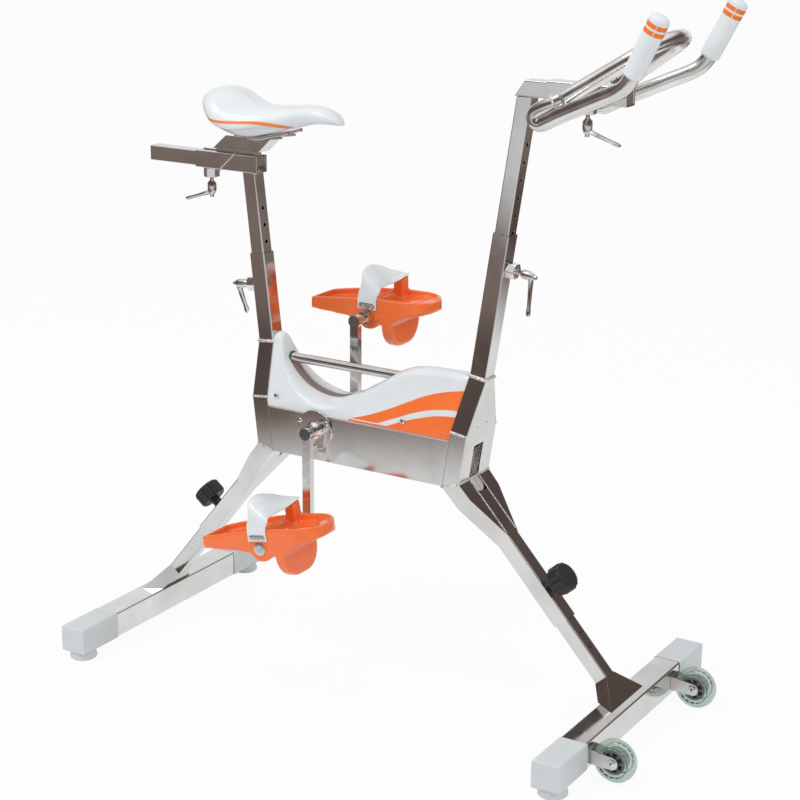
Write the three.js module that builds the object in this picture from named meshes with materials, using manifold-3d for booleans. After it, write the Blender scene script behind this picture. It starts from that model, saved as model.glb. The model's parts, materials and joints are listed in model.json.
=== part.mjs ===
// Pool exercise bike: two stainless posts on telescopic legs, a pedal crank, a saddle and a handlebar.
// Millimetres. X points forward, Y to the rider's left, Z up. The origin is on the floor, under the middle.
import * as THREE from 'three';
import { mergeVertices } from 'three/addons/utils/BufferGeometryUtils.js';
import Module from 'manifold-3d';

const wasm = await Module();
wasm.setup();

const degrees = THREE.MathUtils.degToRad;

// Fits and square tubes
const GAP = 0.3;
const OVERRUN = 4;
const WALL = 1.8;
const SLEEVE = 31.2;
const INNER = SLEEVE - 2 * (WALL + GAP);
const TUBE_CORNER = 2.4;
const HOLE_DIAMETER = 8;
const HOLE_PITCH = 30;
const CUTTER = 8 * SLEEVE;

// Frame: each knee is where a post's flared foot meets its leg
const KNEE_HEIGHT = 401;
const FRONT_KNEE_X = 174;
const REAR_KNEE_X = -211.4;
const FLARE_RISE = 94;
const FLARE_LENGTH = 93;
const FLARE_HEIGHT = KNEE_HEIGHT + FLARE_RISE;
const WELD_HEIGHT = FLARE_HEIGHT + FLARE_LENGTH;
const FRAME_WIDTH = 104;
const FRONT_LEAN = degrees(8.8);
const REAR_LEAN = degrees(6.5);
const FRONT_LEG_ANGLE = degrees(42.15);
const REAR_LEG_ANGLE = degrees(39);
const VENT_WIDTH = 33;
const VENT_TOP = 69;

// Posts
const FRONT_SLEEVE_LENGTH = 253;
const REAR_SLEEVE_LENGTH = 159;
const FRONT_INSERT = 190;
const REAR_INSERT = 150;
const FRONT_CLAMP_DROP = 58;
const REAR_CLAMP_DROP = 58;
const FRONT_HOLE_DROP = 77;
const REAR_HOLE_DROP = 64;

// Legs
const FRONT_SOCKET_LENGTH = 298;
const REAR_SOCKET_LENGTH = 273;
const RECESS_LENGTH = 36;
const SHOULDER_LENGTH = 40;
const SHOULDER_WIDTH = 100;
const TAPER_LENGTH = 127;
const LEG_INSERT = 190;
const KNOB_RISE = 61;
const DRAIN_WIDTH = 26;
const DRAIN_LENGTH = 30;
const GUSSET_SPREAD = 48.4;
const GUSSET_RISE = 51.5;

// Foot bars, their caps and feet
const FRONT_BAR_X = 487.4;
const REAR_BAR_X = -487.4;
const BAR_HEIGHT = 41;
const BAR = 48;
const BAR_CORNER = 3;
const CAP_INNER_Y = 182;
const CAP_OUTER_Y = 280.5;
const CAP = 51;
const CAP_CORNER = 5;
const CAP_SOCKET = 38;
const FOOT_Y = 252;
const FOOT_TOP_RADIUS = 22;
const FOOT_RADIUS = 25;
const FOOT_HEIGHT = 17;

// Transport wheels
const WHEEL_X = 552.4;
const WHEEL_Y = 161;
const WHEEL_RADIUS = 37.3;
const WHEEL_WIDTH = 24;
const WHEEL_HUB_RADIUS = 21;
const WHEEL_SPOKES = 7;
const WHEEL_AXLE_RADIUS = 4;
const FORK_PLATE = 2.5;
const FORK_HEIGHT = 24;
const FORK_LIFT = 2;
const FORK_END_RADIUS = 11;

// Crank and bottom bracket
const CRANK_X = -101.3;
const CRANK_HEIGHT = 453.5;
const CRANK_LENGTH = 169;
const BRACKET_RADIUS = 22;
const FLANGE_RADIUS = 36;
const FLANGE_THICKNESS = 3.5;
const AXLE_RADIUS = 8.5;
const ARM_INNER_Y = 71;
const ARM_THICKNESS = 12.5;
const ARM_WIDTH = 17;
const ARM_EYE_RADIUS = 12;
const COLLAR_RADIUS = 18;
const COLLAR_WAIST_RADIUS = 15.5;
const HUB_RADIUS = 12.5;
const AXLE_CAP_RADIUS = 11.5;
const AXLE_CAP_THICKNESS = 4;

// Pedals
const PEDAL_INNER_Y = 118;
const PEDAL_OUTER_Y = 224;
const PEDAL_WIDTH = 100;
const PEDAL_PITCH = degrees(11);
const SPINDLE_RADIUS = 6;
const SPINDLE_COLLAR_RADIUS = 12;
const PEDAL_TAIL = 125;
const PEDAL_NOSE = 118;
const PEDAL_RIM = 36;
const PEDAL_WALL = 7;
const PEDAL_DISH = 13;
const PEDAL_HUB_RADIUS = 24.3;
const PADDLE_REAR_X = 27;
const PADDLE_FRONT_X = 50;
const PADDLE_DEPTH = 57;
const UPRIGHT_REAR_X = 4;
const UPRIGHT_FRONT_X = 26;
const UPRIGHT_THICKNESS = 22;
const UPRIGHT_HEIGHT = 60.4;
const STRAP_WIDTH = 39;
const STRAP_REAR_X = -21;
const STRAP_HEIGHT = 88;
const STRAP_THICKNESS = 2.5;

// Body housing and crossbar
const HOUSING_DROP = 4;
const HOUSING_FLOOR = KNEE_HEIGHT - HOUSING_DROP;
const COVER_SKIRT = 15;
const HOUSING_TOP = FLARE_HEIGHT - COVER_SKIRT;
const COVER_WALL = 3;
const COVER_INSET = 1;
const COVER_RISE = 18;
const COVER_PEAK = WELD_HEIGHT + COVER_RISE;
const COVER_CROWN = 14;
const COVER_SLOT_WIDTH = 26;
const CROSSBAR_RADIUS = 8.5;
const CROSSBAR_DROP = 26;
const CROSSBAR_HEIGHT = WELD_HEIGHT - CROSSBAR_DROP;

// Seat
const SEAT_HEIGHT = 903.4;
const SEAT_SLEEVE_REAR_X = -382.2;
const SEAT_SLEEVE_FRONT_X = -247.8;
const SEAT_SLIDER_REAR_X = -485.2;
const SEAT_SLIDER_FRONT_X = -254;
const SEAT_CLAMP_X = -358;
const SEAT_SLOT_WIDTH = 17;
const BRACKET_WIDTH = 35;
const BRACKET_PLATE = 3;
const BRACKET_RISE = 22.6;
const BRACKET_BASE = SEAT_HEIGHT + BRACKET_RISE;
const BRACKET_BASE_REAR_X = -341;
const BRACKET_BASE_FRONT_X = -243;
const BRACKET_TOP_REAR_X = -312;
const BRACKET_TOP_FRONT_X = -217;
const SADDLE_REAR_X = -352;
const SADDLE_NOSE_X = -76;
const SADDLE_RISE = 48.1;
const SADDLE_BASE = SEAT_HEIGHT + SADDLE_RISE;
const SADDLE_THICKNESS = 85.5;
const SADDLE_WIDTH = 156;
const SADDLE_FLOOR_WIDTH = 60;
const LANYARD_RADIUS = 1;

// Stem and handlebar
const STEM_HEIGHT = 1079;
const STEM_REAR_X = 259;
const STEM_SLANT = 19;
const STEM_FRONT_X = 440;
const STEM_SLEEVE_REAR_X = 317;
const STEM_SLEEVE_FRONT_X = 457;
const STEM_CLAMP_X = 384;
const HANDLE_RADIUS = 12.5;
const HOOK_RADIUS = 10;
const STRUT_RADIUS = 9;
const GRIP_RADIUS = 16;
const GRIP_LENGTH = 102;

// Clamp screws with lever arms
const STUD_RADIUS = 4;
const NUT_RADIUS = 14.5;
const NUT_LENGTH = 17;
const NECK_LENGTH = 5.6;
const NECK_RADIUS = 3.4;
const LEVER_CONE_LENGTH = 5.6;
const LEVER_BARREL_LENGTH = 13;
const LEVER_TAPER_LENGTH = 7;
const LEVER_HUB_RADIUS = 8;
const LEVER_END_RADIUS = 5;
const LEVER_SCREW_RADIUS = 3.6;
const LEVER_SCREW_LENGTH = 5;
const LEVER_ARM_LENGTH = 57;
const LEVER_ARM_TILT = degrees(20);
const LEVER_ARM_RADIUS = 5.5;

// Leg knobs
const KNOB_RADIUS = 26;
const KNOB_LENGTH = 28;
const KNOB_COLLAR_RADIUS = 9;
const KNOB_COLLAR_LENGTH = 15;
const KNOB_LOBES = 12;

// Brushed and moulded finishes
const finish = (name, color, metalness, roughness) => {
  const material = new THREE.MeshStandardMaterial({ color, metalness, roughness });
  material.name = name;
  return material;
};
const steel = finish('steel', 0xc4c4c2, 1, 0.22);
const orangeShell = finish('orange_shell', 0xf2672a, 0, 0.35);
const whiteShell = finish('white_shell', 0xe9edee, 0, 0.3);
const whiteCap = finish('white_cap', 0xdde2e3, 0, 0.45);
const blackPlastic = finish('black_plastic', 0x1b1c1d, 0, 0.5);
const clearTyre = finish('clear_tyre', 0xa9bfae, 0, 0.2);

// Solids from closed geometry, and back
function toSolid(geometry) {
  const plain = geometry.clone();
  plain.deleteAttribute('normal');
  plain.deleteAttribute('uv');
  const merged = mergeVertices(plain, 1e-4);
  const triVerts = Uint32Array.from(merged.index.array);
  const vertProperties = Float32Array.from(merged.attributes.position.array);
  return new wasm.Manifold(new wasm.Mesh({ numProp: 3, vertProperties, triVerts }));
}
function fromSolid(solid) {
  const { vertProperties, triVerts } = solid.getMesh();
  const geometry = new THREE.BufferGeometry();
  geometry.setAttribute('position', new THREE.BufferAttribute(vertProperties, 3));
  geometry.setIndex(new THREE.BufferAttribute(triVerts, 1));
  geometry.computeVertexNormals();
  return geometry;
}
const cut = (geometry, ...tools) =>
  fromSolid(tools.reduce((left, tool) => left.subtract(toSolid(tool)), toSolid(geometry)));
const join = (geometry, ...others) =>
  fromSolid(others.reduce((whole, other) => whole.add(toSolid(other)), toSolid(geometry)));
const common = (geometry, other) => fromSolid(toSolid(geometry).intersect(toSolid(other)));

// Outlines and extrusions
function outline(points) {
  return new THREE.Shape(points.map(([x, y]) => new THREE.Vector2(x, y)));
}
function roundedRectangle(width, height, corner) {
  const [w, h] = [width / 2, height / 2];
  const shape = new THREE.Shape();
  shape.moveTo(w - corner, -h);
  shape.absarc(w - corner, corner - h, corner, -Math.PI / 2, 0);
  shape.absarc(w - corner, h - corner, corner, 0, Math.PI / 2);
  shape.absarc(corner - w, h - corner, corner, Math.PI / 2, Math.PI);
  shape.absarc(corner - w, corner - h, corner, Math.PI, 1.5 * Math.PI);
  return shape;
}
function prism(shape, depth, curveSegments = 3) {
  return new THREE.ExtrudeGeometry(shape, { depth, curveSegments, bevelEnabled: false, steps: 1 });
}
const [AXIS_X, AXIS_Y, AXIS_Z] = [[1, 0, 0], [0, 1, 0], [0, 0, 1]].map((a) => new THREE.Vector3(...a));
// A side outline drawn in X and Z, extruded across Y about the middle
function acrossY(shape, width, curveSegments) {
  const basis = new THREE.Matrix4().makeBasis(AXIS_X, AXIS_Z, AXIS_Y.clone().negate());
  return prism(shape, width, curveSegments).applyMatrix4(basis).translate(0, width / 2, 0);
}
// A front outline drawn in Y and Z, extruded along X about the middle
function alongX(shape, length, curveSegments) {
  const basis = new THREE.Matrix4().makeBasis(AXIS_Y, AXIS_Z, AXIS_X);
  return prism(shape, length, curveSegments).applyMatrix4(basis).translate(-length / 2, 0, 0);
}
function box(width, depth, height) {
  return new THREE.BoxGeometry(width, depth, height);
}
// A cylinder that starts at the origin and runs up Z
function rod(radius, length, sides = 20) {
  return new THREE.CylinderGeometry(radius, radius, length, sides).rotateX(Math.PI / 2)
    .translate(0, 0, length / 2);
}
// A revolved profile of [radius, height] pairs about Z
function turned(profile, sides = 24) {
  return new THREE.LatheGeometry(profile.map(([r, z]) => new THREE.Vector2(r, z)), sides)
    .rotateX(Math.PI / 2);
}
function squareBar(side, length, corner = TUBE_CORNER) {
  return prism(roundedRectangle(side, side, corner), length, 2);
}
function squareTube(side, length, corner = TUBE_CORNER) {
  const shape = roundedRectangle(side, side, corner);
  const bore = roundedRectangle(side - 2 * WALL, side - 2 * WALL, Math.max(corner - WALL, GAP));
  shape.holes.push(bore);
  return prism(shape, length, 2);
}
// The half space under a plane through the origin that rises towards +X by the given angle
function below(rise) {
  return box(CUTTER, CUTTER, CUTTER).translate(0, 0, -CUTTER / 2).rotateY(-rise);
}
function above(rise) {
  return box(CUTTER, CUTTER, CUTTER).translate(0, 0, CUTTER / 2).rotateY(-rise);
}
// A skin stretched over closed rings of points, with a flat fan on each end ring
function loft(rings) {
  const count = rings[0].length;
  const positions = rings.flat().flatMap((p) => [p.x, p.y, p.z]);
  const indices = [];
  for (let ring = 0; ring + 1 < rings.length; ring += 1) {
    for (let i = 0; i < count; i += 1) {
      const a = ring * count + i;
      const b = ring * count + ((i + 1) % count);
      indices.push(a, b, a + count, b, b + count, a + count);
    }
  }
  for (const [ring, flip] of [[0, true], [rings.length - 1, false]]) {
    const middle = positions.length / 3;
    const centre = rings[ring].reduce((sum, p) => sum.add(p), new THREE.Vector3());
    centre.divideScalar(count);
    positions.push(centre.x, centre.y, centre.z);
    for (let i = 0; i < count; i += 1) {
      const a = ring * count + i;
      const b = ring * count + ((i + 1) % count);
      indices.push(...(flip ? [middle, b, a] : [middle, a, b]));
    }
  }
  const geometry = new THREE.BufferGeometry();
  geometry.setAttribute('position', new THREE.Float32BufferAttribute(positions, 3));
  geometry.setIndex(indices);
  return outward(geometry);
}
// Turns a closed skin inside out if its faces point in
function outward(geometry) {
  const { array } = geometry.attributes.position;
  const index = geometry.index.array;
  const corner = (i) => new THREE.Vector3().fromArray(array, 3 * index[i]);
  let volume = 0;
  for (let i = 0; i < index.length; i += 3) {
    volume += corner(i).dot(corner(i + 1).cross(corner(i + 2)));
  }
  if (volume < 0) {
    for (let i = 0; i < index.length; i += 3) {
      [index[i], index[i + 1]] = [index[i + 1], index[i]];
    }
  }
  return geometry;
}
// A round tube along a smooth path through the given points
function roundTube(points, radius, steps, sides = 14) {
  const path = new THREE.CatmullRomCurve3(points.map((p) => new THREE.Vector3(...p)), false, 'centripetal');
  const section = new THREE.Shape();
  section.absarc(0, 0, radius, 0, 2 * Math.PI);
  return new THREE.ExtrudeGeometry(section, { steps, extrudePath: path, curveSegments: sides / 2 });
}

// The scene: every sub-part is one named mesh
const bike = new THREE.Group();
bike.position.x = -(WHEEL_X + WHEEL_RADIUS + REAR_BAR_X - CAP / 2) / 2;
const whole = new THREE.Group();
whole.add(bike);

function place(name, geometry, material, holder = bike) {
  const mesh = new THREE.Mesh(geometry, material);
  mesh.name = name;
  holder.add(mesh);
  return mesh;
}
function groupAt(x, y, z, tilt = 0, holder = bike) {
  const group = new THREE.Group();
  group.position.set(x, y, z);
  group.rotation.y = tilt;
  group.updateMatrix();
  holder.add(group);
  return group;
}

// Front and rear ends are built alike; facing is 1 for the front and -1 for the rear
const front = {
  name: 'front',
  facing: 1,
  lean: FRONT_LEAN,
  legAngle: FRONT_LEG_ANGLE,
  sleeveLength: FRONT_SLEEVE_LENGTH,
  clampDrop: FRONT_CLAMP_DROP,
  socketLength: FRONT_SOCKET_LENGTH,
  barX: FRONT_BAR_X,
  kneeX: FRONT_KNEE_X,
};
const rear = {
  name: 'rear',
  facing: -1,
  lean: REAR_LEAN,
  legAngle: REAR_LEG_ANGLE,
  sleeveLength: REAR_SLEEVE_LENGTH,
  clampDrop: REAR_CLAMP_DROP,
  socketLength: REAR_SOCKET_LENGTH,
  barX: REAR_BAR_X,
  kneeX: REAR_KNEE_X,
};
for (const end of [front, rear]) {
  end.halfBend = (end.legAngle + end.lean) / 2;
  end.weld = (WELD_HEIGHT - KNEE_HEIGHT) / Math.cos(end.lean);
  end.flare = (FLARE_HEIGHT - KNEE_HEIGHT) / Math.cos(end.lean);
  end.post = groupAt(end.kneeX, 0, KNEE_HEIGHT, end.facing * end.lean);
  end.leg = groupAt(end.kneeX, 0, KNEE_HEIGHT, -end.facing * end.legAngle);
}

// Half the flared foot's width at the top weld, the flare and the knee
function flareOutline(end, inset, low) {
  const [top, wide] = [SLEEVE / 2 - inset, FRAME_WIDTH / 2 - inset];
  return [[top, end.weld - GAP], [wide, end.flare], [wide, low]];
}
function mirrored(points) {
  return [...points, ...points.map(([y, z]) => [-y, z]).reverse()];
}
// The bent side plate of a flared foot
function sidePlate(end, side) {
  const low = -SLEEVE;
  const outer = flareOutline(end, 0, low);
  const inner = flareOutline(end, WALL, low).reverse();
  const points = [...outer, ...inner].map(([y, z]) => [side * y, z]);
  const plate = alongX(outline(points), SLEEVE);
  return cut(plate, below(end.facing * end.halfBend).translate(0, 0, GAP / 2));
}
// The closing plate between two side plates, with or without the tall vent
function closingPlate(end, face, vented) {
  const shape = outline(mirrored(flareOutline(end, WALL + GAP, -SLEEVE)));
  const plate = alongX(shape, WALL).translate(face * (SLEEVE / 2 - WALL / 2), 0, 0);
  const tools = [below(end.facing * end.halfBend).translate(0, 0, GAP / 2)];
  if (vented) {
    const half = VENT_WIDTH / 2;
    const vent = outline([[-half, -SLEEVE], [half, -SLEEVE], [half, VENT_TOP], [-half, VENT_TOP]]);
    tools.push(alongX(vent, CUTTER));
  }
  return cut(plate, ...tools);
}
function postSleeve(end) {
  const tube = squareTube(SLEEVE, end.sleeveLength).translate(0, 0, end.weld);
  const stud = rod(STUD_RADIUS + GAP, CUTTER, 12).rotateY(end.facing * Math.PI / 2)
    .translate(0, 0, end.weld + end.sleeveLength - end.clampDrop);
  return cut(tube, stud);
}

// A welded hex nut, built outwards along Z from the tube's face
function clampNut() {
  return cut(rod(NUT_RADIUS, NUT_LENGTH, 6), rod(STUD_RADIUS + GAP, CUTTER, 12)
    .translate(0, 0, -CUTTER / 2)).translate(0, 0, GAP);
}
// The screw with its waisted hub, end screw and tapered lever arm
function clampLever() {
  const seat = NUT_LENGTH + 2 * GAP;
  const hubStart = seat + NECK_LENGTH;
  const barrelStart = hubStart + LEVER_CONE_LENGTH;
  const barrelEnd = barrelStart + LEVER_BARREL_LENGTH;
  const hubEnd = barrelEnd + LEVER_TAPER_LENGTH;
  const profile = [
    [0, GAP - WALL], [STUD_RADIUS, GAP - WALL], [STUD_RADIUS, seat], [NECK_RADIUS, seat],
    [NECK_RADIUS, hubStart], [LEVER_HUB_RADIUS, barrelStart], [LEVER_HUB_RADIUS, barrelEnd],
    [LEVER_END_RADIUS, hubEnd], [LEVER_SCREW_RADIUS, hubEnd],
    [LEVER_SCREW_RADIUS, hubEnd + LEVER_SCREW_LENGTH], [0, hubEnd + LEVER_SCREW_LENGTH],
  ];
  const armRootShare = 0.8;
  // [distance along the arm, half width, half thickness] as shares of the arm's length and radius
  const armShares = [
    [0, 0.8, 0.76], [0.15, 1, 0.76], [0.42, 0.78, 0.58], [0.74, 0.62, 0.54], [0.87, 0.8, 0.62],
    [0.96, 0.76, 0.58], [1, 0.45, 0.3],
  ];
  const sides = 8;
  const rings = armShares.map(([along, wide, thick]) => {
    const ring = [];
    for (let i = 0; i < sides; i += 1) {
      const angle = (i / sides) * 2 * Math.PI;
      ring.push(new THREE.Vector3(
        along * LEVER_ARM_LENGTH,
        wide * LEVER_ARM_RADIUS * Math.cos(angle),
        thick * LEVER_ARM_RADIUS * Math.sin(angle),
      ));
    }
    return ring;
  });
  const arm = loft(rings).rotateY(-LEVER_ARM_TILT)
    .translate(0, 0, hubStart + armRootShare * (hubEnd - hubStart));
  return join(turned(profile, 12), arm);
}
// A ribbed hand knob on a collar, built outwards along Z from the tube's face
function knob() {
  const lobes = new THREE.Shape();
  const notch = KNOB_RADIUS / 10;
  for (let i = 0; i < 4 * KNOB_LOBES; i += 1) {
    const angle = (i / (4 * KNOB_LOBES)) * 2 * Math.PI;
    const radius = i % 4 < 2 ? KNOB_RADIUS : KNOB_RADIUS - notch;
    lobes[i ? 'lineTo' : 'moveTo'](radius * Math.cos(angle), radius * Math.sin(angle));
  }
  const chamfer = KNOB_LENGTH / 8;
  const limit = turned([
    [0, 0], [KNOB_RADIUS - chamfer, 0], [KNOB_RADIUS, chamfer], [KNOB_RADIUS, KNOB_LENGTH - chamfer],
    [KNOB_RADIUS - chamfer, KNOB_LENGTH], [0, KNOB_LENGTH],
  ], 48).scale(1.01, 1.01, 1);
  const head = common(prism(lobes, KNOB_LENGTH), limit).translate(0, 0, KNOB_COLLAR_LENGTH);
  const stem = turned([
    [0, GAP - WALL], [STUD_RADIUS, GAP - WALL], [STUD_RADIUS, GAP], [KNOB_COLLAR_RADIUS, GAP],
    [KNOB_COLLAR_RADIUS, KNOB_COLLAR_LENGTH + GAP], [0, KNOB_COLLAR_LENGTH + GAP],
  ]);
  return join(head, stem);
}
// Stands a screw out of a tube's face: face is 1 for its +X side, -1 for -X; turn spins the arm
function onFace(geometry, face, along, turn = 0) {
  return geometry.rotateZ(turn).rotateY(face * Math.PI / 2).translate(face * SLEEVE / 2, 0, along);
}

// Telescopic legs
// The outer leg socket: a square sleeve that flares to the knee, with a recess above it and a drain behind
function legSocket(end) {
  const half = SLEEVE / 2;
  const [wide, shoulder] = [FRAME_WIDTH / 2, SHOULDER_WIDTH / 2];
  const flare = mirrored([
    [half, -TAPER_LENGTH], [shoulder, -SHOULDER_LENGTH], [wide, 0], [wide, SLEEVE],
  ]);
  const taper = (TAPER_LENGTH - SHOULDER_LENGTH) / (shoulder - half);
  const pocketWidth = shoulder - half - 2 * WALL;
  const pocket = [
    [half + WALL, SLEEVE + OVERRUN], [wide - WALL, SLEEVE + OVERRUN], [wide - WALL, 0],
    [shoulder - WALL, -SHOULDER_LENGTH], [half + WALL, WALL - SHOULDER_LENGTH - taper * pocketWidth],
  ];
  const pockets = [1, -1].map((side) =>
    alongX(outline(pocket.map(([y, z]) => [side * y, z])), SLEEVE - 2 * WALL));
  const length = end.socketLength;
  const sleeve = squareBar(SLEEVE, length - RECESS_LENGTH).translate(0, 0, -length);
  const bore = squareBar(SLEEVE - 2 * WALL, length - RECESS_LENGTH + 2 * OVERRUN, TUBE_CORNER - WALL)
    .translate(0, 0, -length - OVERRUN);
  const recess = box(SLEEVE, SLEEVE, CUTTER)
    .translate(end.facing * WALL, 0, CUTTER / 2 - RECESS_LENGTH);
  const drainTop = -WALL;
  const drain = alongX(outline([
    [-DRAIN_WIDTH / 2, drainTop], [DRAIN_WIDTH / 2, drainTop], [0, drainTop - DRAIN_LENGTH],
  ]), CUTTER);
  const stud = rod(STUD_RADIUS + GAP, CUTTER, 12).rotateY(end.facing * Math.PI / 2)
    .translate(0, 0, KNOB_RISE - length);
  const mitre = above(-end.facing * end.halfBend).translate(0, 0, -GAP / 2);
  return cut(join(alongX(outline(flare), SLEEVE), sleeve), bore, recess, drain, stud, mitre, ...pockets);
}
// How far down the leg from the knee the bar's top lies
const legReach = (end) => (KNEE_HEIGHT - BAR_HEIGHT - BAR / 2) / Math.cos(end.legAngle);
// The sliding inner tube with its row of holes and the gussets that stand on the bar
function legTube(end) {
  const reach = legReach(end);
  const half = INNER / 2;
  const lip = half * Math.tan(end.legAngle);
  const bottom = -reach - 2 * lip;
  const top = LEG_INSERT - end.socketLength;
  const tube = squareBar(INNER, top - bottom).translate(0, 0, bottom);
  const gussetTop = GUSSET_RISE - reach - lip;
  const gusset = alongX(outline(mirrored([
    [half, gussetTop], [half + GUSSET_SPREAD, gussetTop - GUSSET_RISE], [half + GUSSET_SPREAD, bottom],
  ])), INNER);
  const bore = squareBar(INNER - 2 * WALL, top - bottom + 2 * OVERRUN, TUBE_CORNER - WALL)
    .translate(0, 0, bottom - OVERRUN);
  const seat = below(-end.facing * end.legAngle).translate(0, 0, GAP / Math.cos(end.legAngle) - reach);
  const holes = [];
  for (let along = KNOB_RISE; along > KNOB_RISE - 5 * HOLE_PITCH; along -= HOLE_PITCH) {
    holes.push(rod(HOLE_DIAMETER / 2, CUTTER, 10).rotateY(end.facing * Math.PI / 2)
      .translate(0, 0, along - end.socketLength));
  }
  return cut(join(tube, gusset), bore, seat, ...holes);
}
function footBar() {
  const length = 2 * (CAP_INNER_Y + CAP_SOCKET - GAP);
  return squareTube(BAR, length, BAR_CORNER).translate(0, 0, -length / 2).rotateX(Math.PI / 2);
}
// A soft-cornered end cap that takes the bar's end and stands on a round foot
function footCap(side) {
  const length = CAP_OUTER_Y - CAP_INNER_Y;
  const middle = (CAP_OUTER_Y + CAP_INNER_Y) / 2;
  const body = acrossY(roundedRectangle(CAP, CAP, CAP_CORNER), length).translate(0, middle, 0);
  const rounding = alongX(roundedRectangle(length, CAP, CAP_CORNER), CAP).translate(0, middle, 0);
  const socket = acrossY(roundedRectangle(BAR + 2 * GAP, BAR + 2 * GAP, BAR_CORNER), 2 * CAP_SOCKET)
    .translate(0, CAP_INNER_Y, 0);
  const edge = FOOT_HEIGHT / 8;
  const foot = turned([
    [0, 0], [FOOT_RADIUS - edge, 0], [FOOT_RADIUS, edge], [FOOT_RADIUS, 2 * edge],
    [FOOT_TOP_RADIUS, FOOT_HEIGHT - edge], [FOOT_TOP_RADIUS, FOOT_HEIGHT], [0, FOOT_HEIGHT],
  ], 20).translate(0, FOOT_Y, -BAR_HEIGHT);
  const cap = join(cut(common(body, rounding), socket), foot);
  return side > 0 ? cap : cap.rotateZ(Math.PI);
}

// Transport wheels
function tyre() {
  const half = WHEEL_WIDTH / 2;
  const inner = WHEEL_HUB_RADIUS + GAP;
  const depth = WHEEL_RADIUS - inner;
  const profile = [[inner, -0.8 * half], [inner, 0.8 * half]];
  for (let i = 0; i <= 8; i += 1) {
    const angle = Math.PI * (0.5 - i / 8);
    profile.push([inner + depth * (0.45 + 0.55 * Math.cos(angle)), half * Math.sin(angle)]);
  }
  profile.push(profile[0]);
  return turned(profile.reverse(), 28).rotateX(-Math.PI / 2);
}
function wheelHub() {
  const rim = 0.82 * WHEEL_HUB_RADIUS;
  const boss = 0.42 * WHEEL_HUB_RADIUS;
  const disc = new THREE.Shape();
  disc.absarc(0, 0, WHEEL_HUB_RADIUS, 0, 2 * Math.PI);
  const bore = new THREE.Path();
  bore.absarc(0, 0, WHEEL_AXLE_RADIUS + GAP, 0, 2 * Math.PI);
  disc.holes.push(bore);
  const sector = (2 * Math.PI) / WHEEL_SPOKES;
  const point = (radius, angle) => new THREE.Vector2(radius * Math.cos(angle), radius * Math.sin(angle));
  for (let i = 0; i < WHEEL_SPOKES; i += 1) {
    const outerEdge = [0.14, 0.38, 0.62, 0.86].map((share) => point(rim, (i + share) * sector));
    const innerEdge = [0.76, 0.5, 0.24].map((share) => point(boss, (i + share) * sector));
    disc.holes.push(new THREE.Path([...outerEdge, ...innerEdge]));
  }
  const width = 0.84 * WHEEL_WIDTH;
  return prism(disc, width, 14).translate(0, 0, -width / 2).rotateX(Math.PI / 2);
}
// A U bracket bolted to the bar's face, with the wheel's axle through its two plates
function wheelFork() {
  const face = FRONT_BAR_X + BAR / 2 + GAP - WHEEL_X;
  const span = WHEEL_WIDTH / 2 + 2 * GAP;
  const plate = new THREE.Shape();
  const top = FORK_LIFT + FORK_HEIGHT / 2;
  plate.moveTo(face, top - FORK_HEIGHT);
  plate.lineTo(0, -FORK_END_RADIUS);
  plate.absarc(0, 0, FORK_END_RADIUS, -Math.PI / 2, Math.PI / 2);
  plate.lineTo(face, top);
  const web = box(FORK_PLATE, 2 * span + FORK_PLATE, FORK_HEIGHT)
    .translate(face + FORK_PLATE / 2, 0, FORK_LIFT);
  const plates = [1, -1].map((side) =>
    acrossY(plate, FORK_PLATE, 10).translate(0, side * (span + FORK_PLATE / 2), 0));
  const bolt = 0.6 * FORK_END_RADIUS;
  const end = span + 2 * FORK_PLATE;
  const axle = turned([
    [0, -end], [bolt, -end], [bolt, FORK_PLATE / 2 - end], [WHEEL_AXLE_RADIUS, FORK_PLATE / 2 - end],
    [WHEEL_AXLE_RADIUS, end - FORK_PLATE / 2], [bolt, end - FORK_PLATE / 2], [bolt, end], [0, end],
  ], 16).rotateX(Math.PI / 2);
  return join(web, ...plates, axle);
}

// Crank
// The fixed shell and its two bolted flanges
function bottomBracket() {
  const side = FRAME_WIDTH / 2 + GAP;
  const end = side + FLANGE_THICKNESS;
  const edge = FLANGE_THICKNESS / 3;
  const bore = AXLE_RADIUS + GAP;
  return turned([
    [bore, -end], [FLANGE_RADIUS - edge, -end], [FLANGE_RADIUS, edge - end], [FLANGE_RADIUS, -side],
    [BRACKET_RADIUS, -side], [BRACKET_RADIUS, side], [FLANGE_RADIUS, side],
    [FLANGE_RADIUS, end - edge], [FLANGE_RADIUS - edge, end], [bore, end], [bore, -end],
  ], 28).rotateX(Math.PI / 2);
}
// The axle with its stepped collars, hub barrels and dust caps
function crankAxle() {
  const flange = FRAME_WIDTH / 2 + FLANGE_THICKNESS + 2 * GAP;
  const outer = ARM_INNER_Y + ARM_THICKNESS + GAP;
  const step = (ARM_INNER_Y - flange) / 6;
  const half = [
    [AXLE_RADIUS, flange], [COLLAR_RADIUS, flange], [COLLAR_RADIUS, flange + step],
    [COLLAR_WAIST_RADIUS, flange + step], [COLLAR_WAIST_RADIUS, flange + 2 * step],
    [HUB_RADIUS, flange + 3 * step], [HUB_RADIUS, ARM_INNER_Y - GAP],
    [SPINDLE_RADIUS, ARM_INNER_Y - GAP], [SPINDLE_RADIUS, outer],
    [AXLE_CAP_RADIUS, outer], [AXLE_CAP_RADIUS, outer + AXLE_CAP_THICKNESS / 2],
    [AXLE_CAP_RADIUS - AXLE_CAP_THICKNESS / 2, outer + AXLE_CAP_THICKNESS],
    [0, outer + AXLE_CAP_THICKNESS],
  ];
  const mirroredHalf = half.map(([r, y]) => [r, -y]).reverse();
  return turned([...mirroredHalf, ...half], 16).rotateX(Math.PI / 2);
}
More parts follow.
